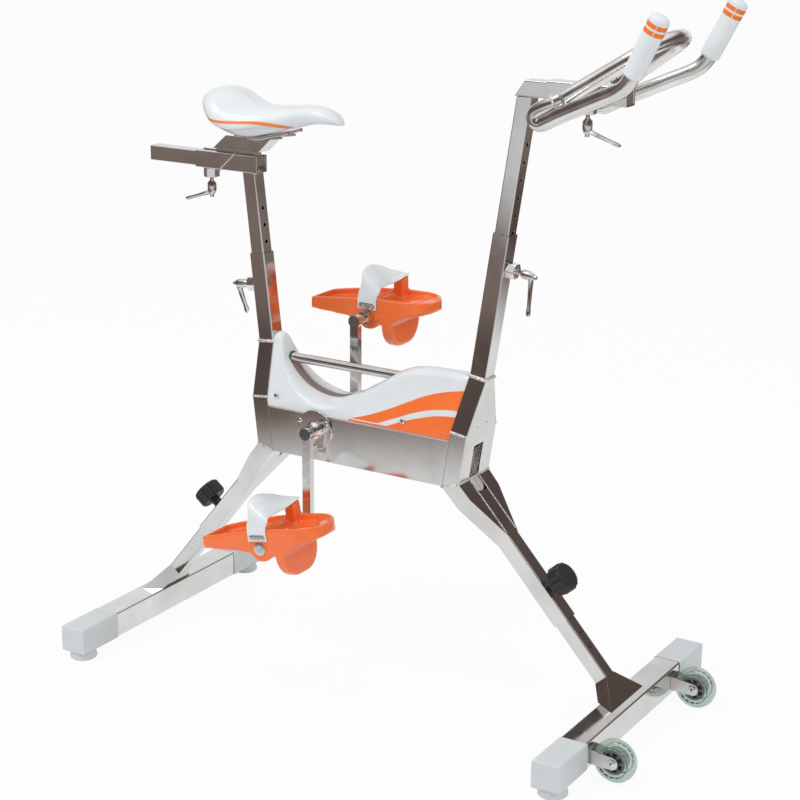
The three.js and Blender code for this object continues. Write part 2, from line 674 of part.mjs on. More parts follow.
// A flat arm with round eyes, and the pedal spindle that stands out of its far end
function crankArm(side) {
  const eye = ARM_EYE_RADIUS;
  const half = ARM_WIDTH / 2;
  const reach = Math.sqrt(eye * eye - half * half);
  const turn = Math.atan2(half, reach);
  const shape = new THREE.Shape();
  shape.absarc(0, 0, eye, turn, 2 * Math.PI - turn);
  shape.absarc(CRANK_LENGTH, 0, eye, -(Math.PI - turn), Math.PI - turn);
  const bore = new THREE.Path();
  bore.absarc(0, 0, SPINDLE_RADIUS + GAP, 0, 2 * Math.PI);
  shape.holes.push(bore);
  const bar = acrossY(shape, ARM_THICKNESS, 10).translate(0, ARM_INNER_Y + ARM_THICKNESS / 2, 0);
  const start = ARM_INNER_Y + ARM_THICKNESS / 2;
  const wall = PEDAL_INNER_Y - GAP;
  const neck = ARM_INNER_Y + ARM_THICKNESS + (wall - ARM_INNER_Y - ARM_THICKNESS) / 2;
  const tip = PEDAL_INNER_Y + 0.8 * PEDAL_WIDTH;
  const spindle = turned([
    [0, start], [SPINDLE_COLLAR_RADIUS * 0.7, start], [SPINDLE_COLLAR_RADIUS * 0.7, neck],
    [SPINDLE_COLLAR_RADIUS, neck], [SPINDLE_COLLAR_RADIUS, wall], [SPINDLE_RADIUS, wall],
    [SPINDLE_RADIUS, tip], [0, tip],
  ], 18).rotateX(-Math.PI / 2).translate(CRANK_LENGTH, 0, 0);
  const arm = join(bar, spindle);
  return side > 0 ? arm : arm.rotateX(Math.PI);
}

// Pedals: a dished shell with a paddle below, an upright and a strap over the foot
// Places along the pedal are shares of its tail or nose length, heights are shares of its rim height
const pedalPoint = ([x, z]) => [x * (x < 0 ? PEDAL_TAIL : PEDAL_NOSE), z * PEDAL_RIM];
const pedalTopShares = [[-1, 0.57], [-0.7, 0.68], [-0.19, 0.86], [0.17, 0.955], [0.48, 0.975], [0.75, 1]];
const pedalSideShares = [
  ...pedalTopShares, [0.9, 0.97], [0.985, 0.9], [1, 0.8], [1, 0.45], [0.96, 0.36], [0.8, 0.24],
  [0.6, 0.12], [0.42, -0.26], [0.24, -0.34], [-0.27, -0.21], [-0.37, -0.14], [-0.63, -0.1], [-1, -0.03],
];
// [place along the pedal, place across it] as shares of its length and width
const pedalPlanShares = [[-1, 0.66], [-0.94, 0.77], [-0.7, 0.88], [-0.3, 0.97], [0.1, 1]];
function pedalPlan(inset) {
  const noseShare = 0.54;
  const nose = noseShare * PEDAL_NOSE;
  const shape = new THREE.Shape();
  const half = PEDAL_WIDTH / 2;
  shape.moveTo(inset - PEDAL_TAIL, inset);
  shape.lineTo(nose, inset);
  shape.absellipse(nose, half, PEDAL_NOSE - nose - inset, half - inset, -Math.PI / 2, Math.PI / 2);
  for (const [x, y] of pedalPlanShares.toReversed()) {
    const along = x * (x < 0 ? PEDAL_TAIL : PEDAL_NOSE);
    shape.lineTo(Math.max(along, inset - PEDAL_TAIL), y * PEDAL_WIDTH - inset);
  }
  return shape;
}
// spindleSide is 0 where the spindle enters at the strap plate's wall, 1 where it enters opposite
function pedalShell(spindleSide) {
  const side = acrossY(outline(pedalSideShares.map(pedalPoint)), 4 * PEDAL_WIDTH);
  const plan = prism(pedalPlan(0), CUTTER, 7).translate(0, 0, -CUTTER / 2);
  const hub = acrossY(new THREE.Shape().absarc(0, 0, PEDAL_HUB_RADIUS, 0, 2 * Math.PI), PEDAL_WIDTH, 12)
    .translate(0, PEDAL_WIDTH / 2, 0);
  const paddle = new THREE.Shape();
  const half = PEDAL_WIDTH / 2;
  const edge = PEDAL_WALL / 2;
  const [root, start, floor] = [PEDAL_HUB_RADIUS / 3, -PADDLE_DEPTH / 4, edge - PADDLE_DEPTH];
  const bend = 0.35 * PEDAL_WIDTH;
  paddle.moveTo(half - edge, root);
  paddle.lineTo(edge - half, root);
  paddle.lineTo(edge - half, start);
  paddle.absellipse(edge + bend - half, start, bend, start - floor, Math.PI, 1.5 * Math.PI);
  paddle.absellipse(half - edge - bend, start, bend, start - floor, 1.5 * Math.PI, 2 * Math.PI);
  const depth = PADDLE_FRONT_X - PADDLE_REAR_X - 2 * edge;
  const lobe = new THREE.ExtrudeGeometry(paddle, {
    depth, curveSegments: 5, steps: 1, bevelSize: edge, bevelThickness: edge, bevelSegments: 2,
  }).applyMatrix4(new THREE.Matrix4().makeBasis(AXIS_Y, AXIS_Z, AXIS_X))
    .translate(PADDLE_REAR_X + edge, PEDAL_WIDTH / 2, 0);
  const innerY = PEDAL_WIDTH - UPRIGHT_THICKNESS;
  const innerHeight = 0.88 * UPRIGHT_HEIGHT;
  const upright = alongX(
    outline([[innerY, 0], [PEDAL_WIDTH, 0], [PEDAL_WIDTH, UPRIGHT_HEIGHT], [innerY, innerHeight]]),
    UPRIGHT_FRONT_X - UPRIGHT_REAR_X,
  ).translate((UPRIGHT_FRONT_X + UPRIGHT_REAR_X) / 2, 0, 0);
  const capSide = 1 - spindleSide;
  const cap = rod(SPINDLE_COLLAR_RADIUS, 2 * STRAP_THICKNESS, 20).translate(0, 0, -STRAP_THICKNESS)
    .rotateX(Math.PI / 2).translate(0, capSide * PEDAL_WIDTH, 0);
  const dishShares = [...pedalTopShares, [1.2, 1]];
  const dishFloor = dishShares.map(pedalPoint).map(([x, z]) => [x, z - PEDAL_DISH]);
  const sky = outline([...dishFloor, [PEDAL_NOSE, CUTTER], [-2 * PEDAL_TAIL, CUTTER],
    [-2 * PEDAL_TAIL, dishFloor[0][1]]]);
  const dish = common(
    acrossY(sky, 4 * PEDAL_WIDTH),
    prism(pedalPlan(PEDAL_WALL), CUTTER, 7).translate(0, 0, -CUTTER / 2),
  );
  const boreLength = 0.8 * PEDAL_WIDTH + GAP;
  const boreMiddle = spindleSide ? PEDAL_WIDTH - boreLength / 2 : boreLength / 2;
  const bore = rod(SPINDLE_RADIUS + GAP, boreLength + OVERRUN, 14).rotateX(Math.PI / 2)
    .translate(0, boreMiddle + (boreLength + OVERRUN) / 2 + (spindleSide ? OVERRUN / 2 : -OVERRUN / 2), 0);
  const shell = cut(common(side, plan), dish);
  return cut(join(shell, hub, lobe, upright, cap), bore);
}
// The strap follows a foot's instep: its rear edge stands higher than its front edge
function pedalStrap() {
  // [place across, rear edge height, front edge height, forward shift] as shares of span, height and width
  const strapShares = [
    [0, 0.15, 0.15, 0], [0, 0.35, 0.35, 0], [0.005, 0.5, 0.45, 0.05], [0.012, 0.6, 0.51, 0.13],
    [0.03, 0.71, 0.55, 0.17], [0.06, 0.82, 0.585, 0.15], [0.12, 0.92, 0.61, 0.1], [0.25, 0.985, 0.62, 0.08],
    [0.42, 0.99, 0.62, 0.08], [0.6, 0.94, 0.63, 0.11], [0.78, 0.865, 0.66, 0.15], [0.92, 0.79, 0.7, 0.18],
    [1, 0.75, 0.73, 0.2],
  ];
  const outer = -(STRAP_THICKNESS + GAP);
  const span = PEDAL_WIDTH - outer;
  const rows = 3;
  const surface = strapShares.map(([across, high, low, forward]) =>
    [...Array(rows + 1).keys()].map((k) => {
      const share = k / rows;
      return new THREE.Vector3(
        STRAP_REAR_X + (forward + share) * STRAP_WIDTH,
        outer + across * span,
        STRAP_HEIGHT * (high + (low - high) * share),
      );
    }));
  const rings = surface.map((row, i) => {
    const [before, after] = [surface[Math.max(i - 1, 0)], surface[Math.min(i + 1, surface.length - 1)]];
    const inner = row.map((point, k) => {
      const path = after[k].clone().sub(before[k]);
      const across = row[Math.min(k + 1, rows)].clone().sub(row[Math.max(k - 1, 0)]);
      return point.clone().addScaledVector(path.cross(across).normalize(), STRAP_THICKNESS);
    });
    return [...row, ...inner.reverse()];
  });
  return loft(rings);
}

// Sliding posts
function postTube(end, insert, topHeight, holeDrop) {
  const bottom = end.weld + end.sleeveLength - insert;
  const top = (topHeight - KNEE_HEIGHT) / Math.cos(end.lean);
  const tube = squareTube(INNER, top - bottom + OVERRUN).translate(0, 0, bottom);
  const seat = above(end.facing * end.lean).translate(0, 0, top - GAP);
  const holes = [];
  for (let along = top - holeDrop; along > bottom + HOLE_DIAMETER; along -= HOLE_PITCH) {
    holes.push(rod(HOLE_DIAMETER / 2, CUTTER, 8).translate(0, 0, -CUTTER / 2).rotateY(Math.PI / 2)
      .translate(0, 0, along));
  }
  return cut(tube, seat, ...holes);
}
function tubeAlongX(geometry, startX, height) {
  return geometry.rotateY(Math.PI / 2).translate(startX, 0, height);
}

// Housing between the two frames: a steel channel with the bottom bracket, under a moulded cover
// A block that fills everything past a plane a little inside or outside the inward face of a frame
function pastFrame(end, inside = -GAP) {
  const start = CUTTER / 2 - SLEEVE / 2 + inside;
  return box(CUTTER, CUTTER, 2 * CUTTER).translate(end.facing * start, 0, 0).applyMatrix4(end.post.matrix);
}
function housingChannel() {
  const [wide, inner] = [FRAME_WIDTH / 2, FRAME_WIDTH / 2 - WALL];
  const shape = outline([
    [-wide, HOUSING_FLOOR], [wide, HOUSING_FLOOR], [wide, HOUSING_TOP], [inner, HOUSING_TOP],
    [inner, HOUSING_FLOOR + WALL], [-inner, HOUSING_FLOOR + WALL], [-inner, HOUSING_TOP], [-wide, HOUSING_TOP],
  ]);
  const length = FRONT_KNEE_X - REAR_KNEE_X;
  const channel = alongX(shape, length).translate((FRONT_KNEE_X + REAR_KNEE_X) / 2, 0, 0);
  const bracket = rod(BRACKET_RADIUS + GAP, CUTTER, 24).translate(0, 0, -CUTTER / 2).rotateX(Math.PI / 2)
    .translate(CRANK_X, 0, CRANK_HEIGHT);
  return cut(channel, pastFrame(front), pastFrame(rear), bracket);
}
// X of a frame's inward face at a height
function inwardFace(end, z) {
  const lean = (z - KNEE_HEIGHT) * Math.tan(end.lean);
  return end.kneeX + end.facing * (lean - SLEEVE / 2 / Math.cos(end.lean) - GAP);
}
// The cover's spine: [share of the way from rear to front, share of its full height]
const spineShares = [
  [0, 0.98], [0.018, 1], [0.037, 0.98], [0.05, 0.88], [0.063, 0.73], [0.079, 0.6], [0.118, 0.444],
  [0.167, 0.317], [0.23, 0.238], [0.295, 0.206], [0.347, 0.222], [0.4, 0.278], [0.465, 0.365],
  [0.515, 0.46], [0.565, 0.556], [0.61, 0.651], [0.65, 0.73], [0.69, 0.79], [0.735, 0.833],
  [0.784, 0.857], [0.883, 0.873], [1, 0.873],
];
function coverRing(share, heightShare, inset, drop) {
  const top = HOUSING_TOP + heightShare * (COVER_PEAK - HOUSING_TOP) - inset;
  const shoulder = top - COVER_CROWN;
  const widthAt = (z) => {
    const slope = (FRAME_WIDTH - SLEEVE) / 2 / (WELD_HEIGHT - FLARE_HEIGHT);
    const taper = FRAME_WIDTH / 2 - slope * (z + inset - FLARE_HEIGHT);
    const limit = THREE.MathUtils.clamp(taper, SLEEVE / 2, FRAME_WIDTH / 2);
    return limit - COVER_INSET - inset;
  };
  const low = Math.min(FLARE_HEIGHT, shoulder);
  const half = [[widthAt(low), HOUSING_TOP + GAP - drop], [widthAt(low), low]];
  for (let i = 0; i <= 3; i += 1) {
    const angle = (i / 4) * (Math.PI / 2);
    const z = shoulder + COVER_CROWN * Math.sin(angle);
    half.push([widthAt(shoulder) * Math.cos(angle), z]);
  }
  const ring = [...half, [0, top], ...half.map(([y, z]) => [-y, z]).reverse()];
  return ring.map(([y, z]) => {
    const [from, to] = [inwardFace(rear, z), inwardFace(front, z)];
    return new THREE.Vector3(from + share * (to - from), y, z);
  });
}
function coverShell() {
  const outer = loft(spineShares.map(([share, height]) => coverRing(share, height, 0, 0)));
  const past = OVERRUN / (FRONT_KNEE_X - REAR_KNEE_X);
  const inner = loft([[-past, spineShares[0][1]], ...spineShares, [1 + past, spineShares.at(-1)[1]]]
    .map(([share, height]) => coverRing(share, height, COVER_WALL, OVERRUN)));
  const slotHalf = COVER_SLOT_WIDTH / 2;
  const dip = HOUSING_TOP + 0.22 * (COVER_PEAK - HOUSING_TOP);
  const slot = new THREE.Shape();
  slot.moveTo(-slotHalf / 3, dip);
  slot.lineTo(slotHalf / 3, dip);
  slot.absarc(0, CROSSBAR_HEIGHT, slotHalf, 0, Math.PI);
  const slotLength = 2 * (CRANK_X - REAR_KNEE_X);
  const slotCut = alongX(slot, slotLength, 8).translate(CRANK_X - slotLength / 2, 0, 0);
  const barCut = alongX(new THREE.Shape().absarc(0, CROSSBAR_HEIGHT, CROSSBAR_RADIUS + 2 * GAP, 0, 2 * Math.PI),
    FRONT_KNEE_X - CRANK_X, 10).translate(FRONT_KNEE_X / 2, 0, 0);
  return cut(outer, inner, slotCut, barCut);
}
// The carrying bar with the two end plates that close the frames' inward faces
function crossbar() {
  const plates = [rear, front].map((end) =>
    closingPlate(end, -end.facing, false).applyMatrix4(end.post.matrix));
  const [from, to] = [REAR_KNEE_X - 2 * SLEEVE, FRONT_KNEE_X + 2 * SLEEVE];
  const bar = tubeAlongX(rod(CROSSBAR_RADIUS, to - from, 16), from, CROSSBAR_HEIGHT);
  const between = cut(bar, pastFrame(rear, WALL / 2), pastFrame(front, WALL / 2));
  return join(between, ...plates);
}

// Seat
function seatSleeve() {
  const length = SEAT_SLEEVE_FRONT_X - SEAT_SLEEVE_REAR_X;
  const sleeve = tubeAlongX(squareTube(SLEEVE, length), SEAT_SLEEVE_REAR_X, SEAT_HEIGHT);
  const slot = box(2 * length, SEAT_SLOT_WIDTH, CUTTER).translate(SEAT_SLEEVE_REAR_X, 0, SEAT_HEIGHT + CUTTER / 2);
  const slotFront = box(2 * length, SEAT_SLOT_WIDTH, CUTTER)
    .translate(SEAT_SLEEVE_FRONT_X, 0, SEAT_HEIGHT + CUTTER / 2);
  const stud = rod(STUD_RADIUS + GAP, CUTTER, 12).rotateX(Math.PI).translate(SEAT_CLAMP_X, 0, SEAT_HEIGHT);
  return cut(sleeve, slot, slotFront, stud);
}
// The folded bracket under the saddle, with the web that reaches the slider through the sleeve's slot
function seatBracket() {
  const top = SADDLE_BASE - GAP;
  const side = [
    [BRACKET_BASE_REAR_X, BRACKET_BASE], [BRACKET_BASE_FRONT_X, BRACKET_BASE],
    [BRACKET_TOP_FRONT_X, top], [BRACKET_TOP_REAR_X, top],
  ];
  const floor = BRACKET_BASE + BRACKET_PLATE;
  const inside = [
    [SEAT_SLIDER_REAR_X, floor], [BRACKET_BASE_FRONT_X - BRACKET_PLATE, floor],
    [BRACKET_TOP_FRONT_X - BRACKET_PLATE, top + BRACKET_PLATE], [SEAT_SLIDER_REAR_X, top + BRACKET_PLATE],
  ];
  const pan = cut(
    acrossY(outline(side), BRACKET_WIDTH),
    acrossY(outline(inside), BRACKET_WIDTH - 2 * BRACKET_PLATE),
  );
  const webBottom = SEAT_HEIGHT + INNER / 2 + GAP;
  const webHeight = BRACKET_BASE + BRACKET_PLATE / 2 - webBottom;
  const webFront = Math.min(BRACKET_BASE_FRONT_X, SEAT_SLIDER_FRONT_X);
  const webLength = webFront - BRACKET_BASE_REAR_X;
  const web = box(webLength, SEAT_SLOT_WIDTH - 2 * GAP, webHeight)
    .translate(BRACKET_BASE_REAR_X + webLength / 2, 0, webBottom + webHeight / 2);
  return join(pan, web);
}
// [place from tail to nose, half width, top, side rim, underside] as shares of the saddle's size
const saddleShares = [
  [0, 0.359, 0.778, 0.661, 0.579], [0.025, 0.487, 0.895, 0.602, 0.45], [0.062, 0.692, 0.965, 0.532, 0.345],
  [0.116, 0.872, 0.994, 0.462, 0.216], [0.17, 0.974, 1, 0.404, 0.099], [0.225, 1, 0.93, 0.351, 0.029],
  [0.297, 0.962, 0.813, 0.327, 0], [0.37, 0.846, 0.731, 0.333, 0.029], [0.442, 0.692, 0.696, 0.345, 0.076],
  [0.514, 0.577, 0.696, 0.357, 0.135], [0.587, 0.487, 0.708, 0.368, 0.199], [0.659, 0.429, 0.731, 0.392, 0.263],
  [0.732, 0.391, 0.754, 0.427, 0.333], [0.804, 0.359, 0.76, 0.45, 0.398], [0.877, 0.327, 0.725, 0.462, 0.421],
  [0.931, 0.282, 0.649, 0.462, 0.415], [0.971, 0.192, 0.544, 0.45, 0.409], [1, 0.077, 0.433, 0.421, 0.404],
];
function saddle() {
  const rings = saddleShares.map(([along, wide, high, rim, low]) => {
    const x = SADDLE_REAR_X + along * (SADDLE_NOSE_X - SADDLE_REAR_X);
    const w = (wide * SADDLE_WIDTH) / 2;
    const side = rim + 0.42 * (high - rim);
    const half = [];
    for (let i = 1; i <= 5; i += 1) {
      const angle = (i / 5) * (Math.PI / 2);
      half.push([w * Math.sin(angle) ** 0.9, side + (high - side) * Math.cos(angle) ** 0.9]);
    }
    half.push([0.97 * w, (rim + side) / 2], [0.88 * w, rim], [0.7 * w, 0.5 * (rim + low)]);
    half.push([Math.min(0.6 * w, SADDLE_FLOOR_WIDTH / 2), low]);
    const ring = [[0, high], ...half, [0, low], ...half.map(([y, z]) => [-y, z]).reverse()];
    return ring.map(([y, z]) => new THREE.Vector3(x, y, SADDLE_BASE + z * SADDLE_THICKNESS));
  });
  return loft(rings);
}
// A retaining wire round the near side of the seat sleeve, from its top edge down to the clamp
function lanyard() {
  const side = -(SLEEVE / 2 + LANYARD_RADIUS + GAP);
  const top = SEAT_HEIGHT + SLEEVE / 2 + LANYARD_RADIUS + GAP;
  const bottom = SEAT_HEIGHT - SLEEVE / 2 - LANYARD_RADIUS - GAP;
  const upper = SEAT_CLAMP_X + 2 * SLEEVE;
  const lower = SEAT_CLAMP_X + SLEEVE;
  return roundTube([
    [upper, side / 2, top], [upper, 0.85 * side, top], [upper, side, top - 2 * LANYARD_RADIUS],
    [(upper + lower) / 2, side, SEAT_HEIGHT], [lower, side, bottom + 2 * LANYARD_RADIUS],
    [lower, 0.85 * side, bottom], [lower - SLEEVE / 4, side / 2, bottom],
  ], LANYARD_RADIUS, 22, 6);
}

// Stem and handlebar
function stemTube() {
  const length = STEM_FRONT_X - STEM_REAR_X;
  const slant = Math.atan2(STEM_SLANT, INNER);
  const rearCut = (offset) => box(CUTTER, CUTTER, CUTTER).translate(-CUTTER / 2, 0, 0).rotateY(slant)
    .translate(STEM_REAR_X + STEM_SLANT / 2 + offset, 0, STEM_HEIGHT);
  const bar = cut(tubeAlongX(squareBar(INNER, length), STEM_REAR_X, STEM_HEIGHT), rearCut(0));
  const bore = tubeAlongX(squareBar(INNER - 2 * WALL, length + OVERRUN, TUBE_CORNER - WALL), STEM_REAR_X, STEM_HEIGHT);
  return cut(bar, cut(bore, rearCut(WALL / Math.cos(slant))));
}
function stemSleeve() {
  const length = STEM_SLEEVE_FRONT_X - STEM_SLEEVE_REAR_X;
  const sleeve = tubeAlongX(squareTube(SLEEVE, length), STEM_SLEEVE_REAR_X, STEM_HEIGHT);
  const stud = rod(STUD_RADIUS + GAP, CUTTER, 12).rotateX(Math.PI).translate(STEM_CLAMP_X, 0, STEM_HEIGHT);
  return cut(sleeve, stud);
}
// Places on the handlebar for one side: X forward, Y out from the middle, Z above the stem
const handle = {
  weld: [394, 101.7, 5.2],
  bow: [[440, 87, 35.5], [500, 67, 75.5], [514, 55, 85], [524, 36, 91.5], [530, 0, 95]],
  hook: [356.5, 109, -27],
  lower: [[362, 108, -34], [430, 120, -3.5], [498, 133, 27], [512, 138, 36.5], [523, 142, 51]],
  end: [557, 146.3, 119],
};
const handlePoint = (side, [x, y, z]) => [x, side * y, STEM_HEIGHT + z];
function straightTube(from, to, radius, sides = 14) {
  const [a, b] = [new THREE.Vector3(...from), new THREE.Vector3(...to)];
  const turn = new THREE.Quaternion().setFromUnitVectors(AXIS_Z, b.clone().sub(a).normalize());
  return rod(radius, a.distanceTo(b), sides).applyQuaternion(turn).translate(a.x, a.y, a.z);
}
function handleBow() {
  const start = new THREE.Vector3(...handle.weld);
  start.add(new THREE.Vector3(...handle.bow[0]).sub(start).setLength(GAP));
  const half = [start.toArray(), ...handle.bow];
  const points = [
    ...half.map((p) => handlePoint(-1, p)),
    ...half.slice(0, -1).reverse().map((p) => handlePoint(1, p)),
  ];
  return roundTube(points, HANDLE_RADIUS, 28);
}
function lowerPath(side, reach) {
  const bend = new THREE.Vector3(...handle.lower.at(-1));
  const straight = new THREE.Vector3(...handle.end).sub(bend);
  const last = bend.clone().addScaledVector(straight, 1 + reach / straight.length());
  const between = bend.clone().addScaledVector(straight, 0.3);
  return [...handle.lower, between.toArray(), last.toArray()].map((p) => handlePoint(side, p));
}
// One side of the lower bar: its hooked root, the stub under the bow, the strut to the stem and the grip's tube
function handleLower(side) {
  const bar = roundTube(lowerPath(side, 0), HANDLE_RADIUS, 14);
  const inner = HANDLE_RADIUS - HOOK_RADIUS;
  const rim = Math.sqrt(HANDLE_RADIUS ** 2 - HOOK_RADIUS ** 2);
  const start = Math.PI - Math.asin(rim / HANDLE_RADIUS);
  const profile = [[0, -rim]];
  for (let i = 1; i < 7; i += 1) {
    const angle = -start + (2 * start * i) / 7;
    profile.push([HOOK_RADIUS + HANDLE_RADIUS * Math.cos(angle), HANDLE_RADIUS * Math.sin(angle)]);
  }
  profile.push([0, rim]);
  const hook = turned(profile, 14).rotateX(Math.PI / 2).translate(...handlePoint(side, handle.hook));
  const weld = new THREE.Vector3(...handle.weld);
  const root = weld.clone().add(weld.clone().sub(new THREE.Vector3(...handle.bow[0]))
    .setLength(2 * HANDLE_RADIUS + inner));
  const stub = straightTube(handlePoint(side, root.toArray()), handlePoint(side, handle.weld), HANDLE_RADIUS);
  const mid = handle.lower[0].map((v, i) => (v + handle.lower[1][i]) / 2);
  const strut = straightTube(handlePoint(side, mid), handlePoint(side, [mid[0] + STRUT_RADIUS, 0, 0]), STRUT_RADIUS);
  const clear = box(CUTTER, SLEEVE + 2 * GAP, CUTTER).translate(mid[0], 0, STEM_HEIGHT);
  return join(bar, hook, stub, cut(strut, clear));
}
function grip(side) {
  const edge = HANDLE_RADIUS / 4;
  const length = GRIP_LENGTH;
  const body = turned([
    [0, 0], [GRIP_RADIUS - edge, 0], [GRIP_RADIUS, edge], [GRIP_RADIUS, length - 2 * edge],
    [GRIP_RADIUS - edge / 2, length - edge], [GRIP_RADIUS - 2 * edge, length - edge / 4], [0, length],
  ]);
  const [from, to] = [handle.lower.at(-1), handle.end].map((p) => new THREE.Vector3(...handlePoint(side, p)));
  const turn = new THREE.Quaternion().setFromUnitVectors(AXIS_Z, to.clone().sub(from).normalize());
  const placed = body.applyQuaternion(turn).translate(from.x, from.y, from.z);
  return cut(placed, roundTube(lowerPath(side, 2 * GAP), HANDLE_RADIUS + 1.5 * GAP, 14));
}

// Frame nodes
const sides = [['near', -1], ['far', 1]];
for (const end of [rear, front]) {
  place(`${end.name}_sleeve`, postSleeve(end), steel, end.post);
  for (const [name, side] of sides) {
    place(`${end.name}_side_plate_${name}`, sidePlate(end, side), steel, end.post);
  }
  place(`${end.name}_plate`, closingPlate(end, end.facing, true), steel, end.post);
  const clampHeight = end.weld + end.sleeveLength - end.clampDrop;
  place(`${end.name}_clamp_nut`, onFace(clampNut(), end.facing, clampHeight), steel, end.post);
  place(`${end.name}_leg_socket`, legSocket(end), steel, end.leg);
}
place('housing_channel', housingChannel(), steel);
place('bottom_bracket', bottomBracket().translate(CRANK_X, 0, CRANK_HEIGHT), steel);
place('cover', coverShell(), whiteShell);
place('crossbar', crossbar(), steel);

// Clamp levers and leg knobs
const LEVER_TURN = { front: degrees(-25), rear: degrees(146) };
for (const end of [rear, front]) {
  const clampHeight = end.weld + end.sleeveLength - end.clampDrop;
  const lever = onFace(clampLever(), end.facing, clampHeight, LEVER_TURN[end.name]);
  place(`${end.name}_clamp_lever`, lever, steel, end.post);
  place(`${end.name}_leg_knob`, onFace(knob(), end.facing, KNOB_RISE - end.socketLength), blackPlastic, end.leg);
}

// Seat nodes
const postTop = { rear: SEAT_HEIGHT - SLEEVE / 2, front: STEM_HEIGHT - INNER / 2 };
place('seat_post', postTube(rear, REAR_INSERT, postTop.rear, REAR_HOLE_DROP), steel, rear.post);
place('seat_sleeve', seatSleeve(), steel);
const underSeat = (geometry) => geometry.rotateX(Math.PI).translate(SEAT_CLAMP_X, 0, SEAT_HEIGHT - SLEEVE / 2);
place('seat_clamp_nut', underSeat(clampNut()), steel);
place('seat_clamp_lever', underSeat(clampLever().rotateZ(Math.PI)), steel);
place('seat_lanyard', lanyard(), steel);
place('seat_slider', tubeAlongX(
  squareTube(INNER, SEAT_SLIDER_FRONT_X - SEAT_SLIDER_REAR_X), SEAT_SLIDER_REAR_X, SEAT_HEIGHT,
), steel);
place('seat_bracket', seatBracket(), steel);
place('saddle', saddle(), whiteShell);

// Stem and handlebar nodes
place('stem_post', postTube(front, FRONT_INSERT, postTop.front, FRONT_HOLE_DROP), steel, front.post);
place('stem_tube', stemTube(), steel);
place('stem_sleeve', stemSleeve(), steel);
const underStem = (geometry) => geometry.rotateX(Math.PI).translate(STEM_CLAMP_X, 0, STEM_HEIGHT - SLEEVE / 2);
place('stem_clamp_nut', underStem(clampNut()), steel);
place('stem_clamp_lever', underStem(clampLever()), steel);
place('handlebar_bow', handleBow(), steel);
for (const [name, side] of sides) {
  place(`handlebar_lower_${name}`, handleLower(side), steel);
  place(`grip_${name}`, grip(side), whiteShell);
}

// Leg, foot bar and wheel nodes
for (const end of [rear, front]) {
  place(`${end.name}_leg_tube`, legTube(end), steel, end.leg);
  const bar = groupAt(end.barX, 0, BAR_HEIGHT);
  place(`${end.name}_foot_bar`, footBar(), steel, bar);
  for (const [name, side] of sides) {
    place(`${end.name}_cap_${name}`, footCap(side), whiteCap, bar);
  }
}
for (const [name, side] of sides) {
  const wheel = groupAt(WHEEL_X, side * WHEEL_Y, WHEEL_RADIUS);
  place(`wheel_fork_${name}`, wheelFork(), steel, wheel);
  place(`wheel_hub_${name}`, wheelHub(), blackPlastic, wheel);
  place(`wheel_tyre_${name}`, tyre(), clearTyre, wheel);
}

// Crank and pedal nodes
const crank = groupAt(CRANK_X, 0, CRANK_HEIGHT);
place('crank_axle', crankAxle(), steel, crank);
for (const [name, side] of sides) {
  place(`crank_arm_${name}`, crankArm(side).rotateY(-side * Math.PI / 2), steel, crank);
  const pitch = side > 0 ? 0 : -PEDAL_PITCH;
  const inner = side > 0 ? PEDAL_INNER_Y : -PEDAL_OUTER_Y;
  const pedal = groupAt(0, inner, side * CRANK_LENGTH, pitch, crank);
  place(`pedal_${name}`, pedalShell(side > 0 ? 0 : 1), orangeShell, pedal);
  place(`pedal_strap_${name}`, pedalStrap(), whiteShell, pedal);
}

export default whole;
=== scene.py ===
"""Finishes and fine detail for the pool exercise bike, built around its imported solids.

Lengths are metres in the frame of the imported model: X forward, Y to the rider's left, Z up from the floor.
Positions written as bike(x, y, z) are millimetres from the middle of the bike's own drawing.
"""

import json
import math

import bmesh
import bpy
from mathutils import Matrix, Vector


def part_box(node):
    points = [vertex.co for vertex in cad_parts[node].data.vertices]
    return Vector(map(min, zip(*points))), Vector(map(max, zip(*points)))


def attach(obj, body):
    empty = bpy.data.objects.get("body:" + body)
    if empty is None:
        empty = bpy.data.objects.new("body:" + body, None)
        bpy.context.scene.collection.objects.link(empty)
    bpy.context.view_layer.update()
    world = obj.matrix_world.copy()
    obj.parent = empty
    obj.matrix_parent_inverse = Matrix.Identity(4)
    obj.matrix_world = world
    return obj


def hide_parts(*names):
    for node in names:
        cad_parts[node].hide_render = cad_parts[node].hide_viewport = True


bl_info = {
    "name": "Pool Bike Looks",
    "version": (1, 0, 0),
    "blender": (4, 5, 0),
    "location": "3D View > Sidebar > Pool Bike",
    "description": "Dresses the solids of a stainless pool exercise bike and adds its trim",
    "category": "Object",
}

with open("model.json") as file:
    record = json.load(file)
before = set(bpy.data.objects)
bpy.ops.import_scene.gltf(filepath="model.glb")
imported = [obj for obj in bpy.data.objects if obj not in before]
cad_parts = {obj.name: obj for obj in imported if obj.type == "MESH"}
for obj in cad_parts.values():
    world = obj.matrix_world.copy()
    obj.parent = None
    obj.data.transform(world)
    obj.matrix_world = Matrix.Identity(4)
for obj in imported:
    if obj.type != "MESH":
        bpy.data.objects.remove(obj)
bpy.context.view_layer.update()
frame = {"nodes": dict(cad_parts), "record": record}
BEHAVIOUR = frame["record"]["behaviour"]

MM = 0.001
SHIFT_X = -38.4
AXIS_X, AXIS_Y, AXIS_Z = Vector((1, 0, 0)), Vector((0, 1, 0)), Vector((0, 0, 1))
SIDES = (("near", -1), ("far", 1))

# Metres: joining distance, tube edges, the saddle's dropped wings, and where a lever's arm starts
POINT_GAP, TUBE_EDGE = 0.00002, 0.0004
WING_DROP, WING_Y = 0.019, 0.07
ARM_START = 0.009
ARM_WIDENING = 1.35

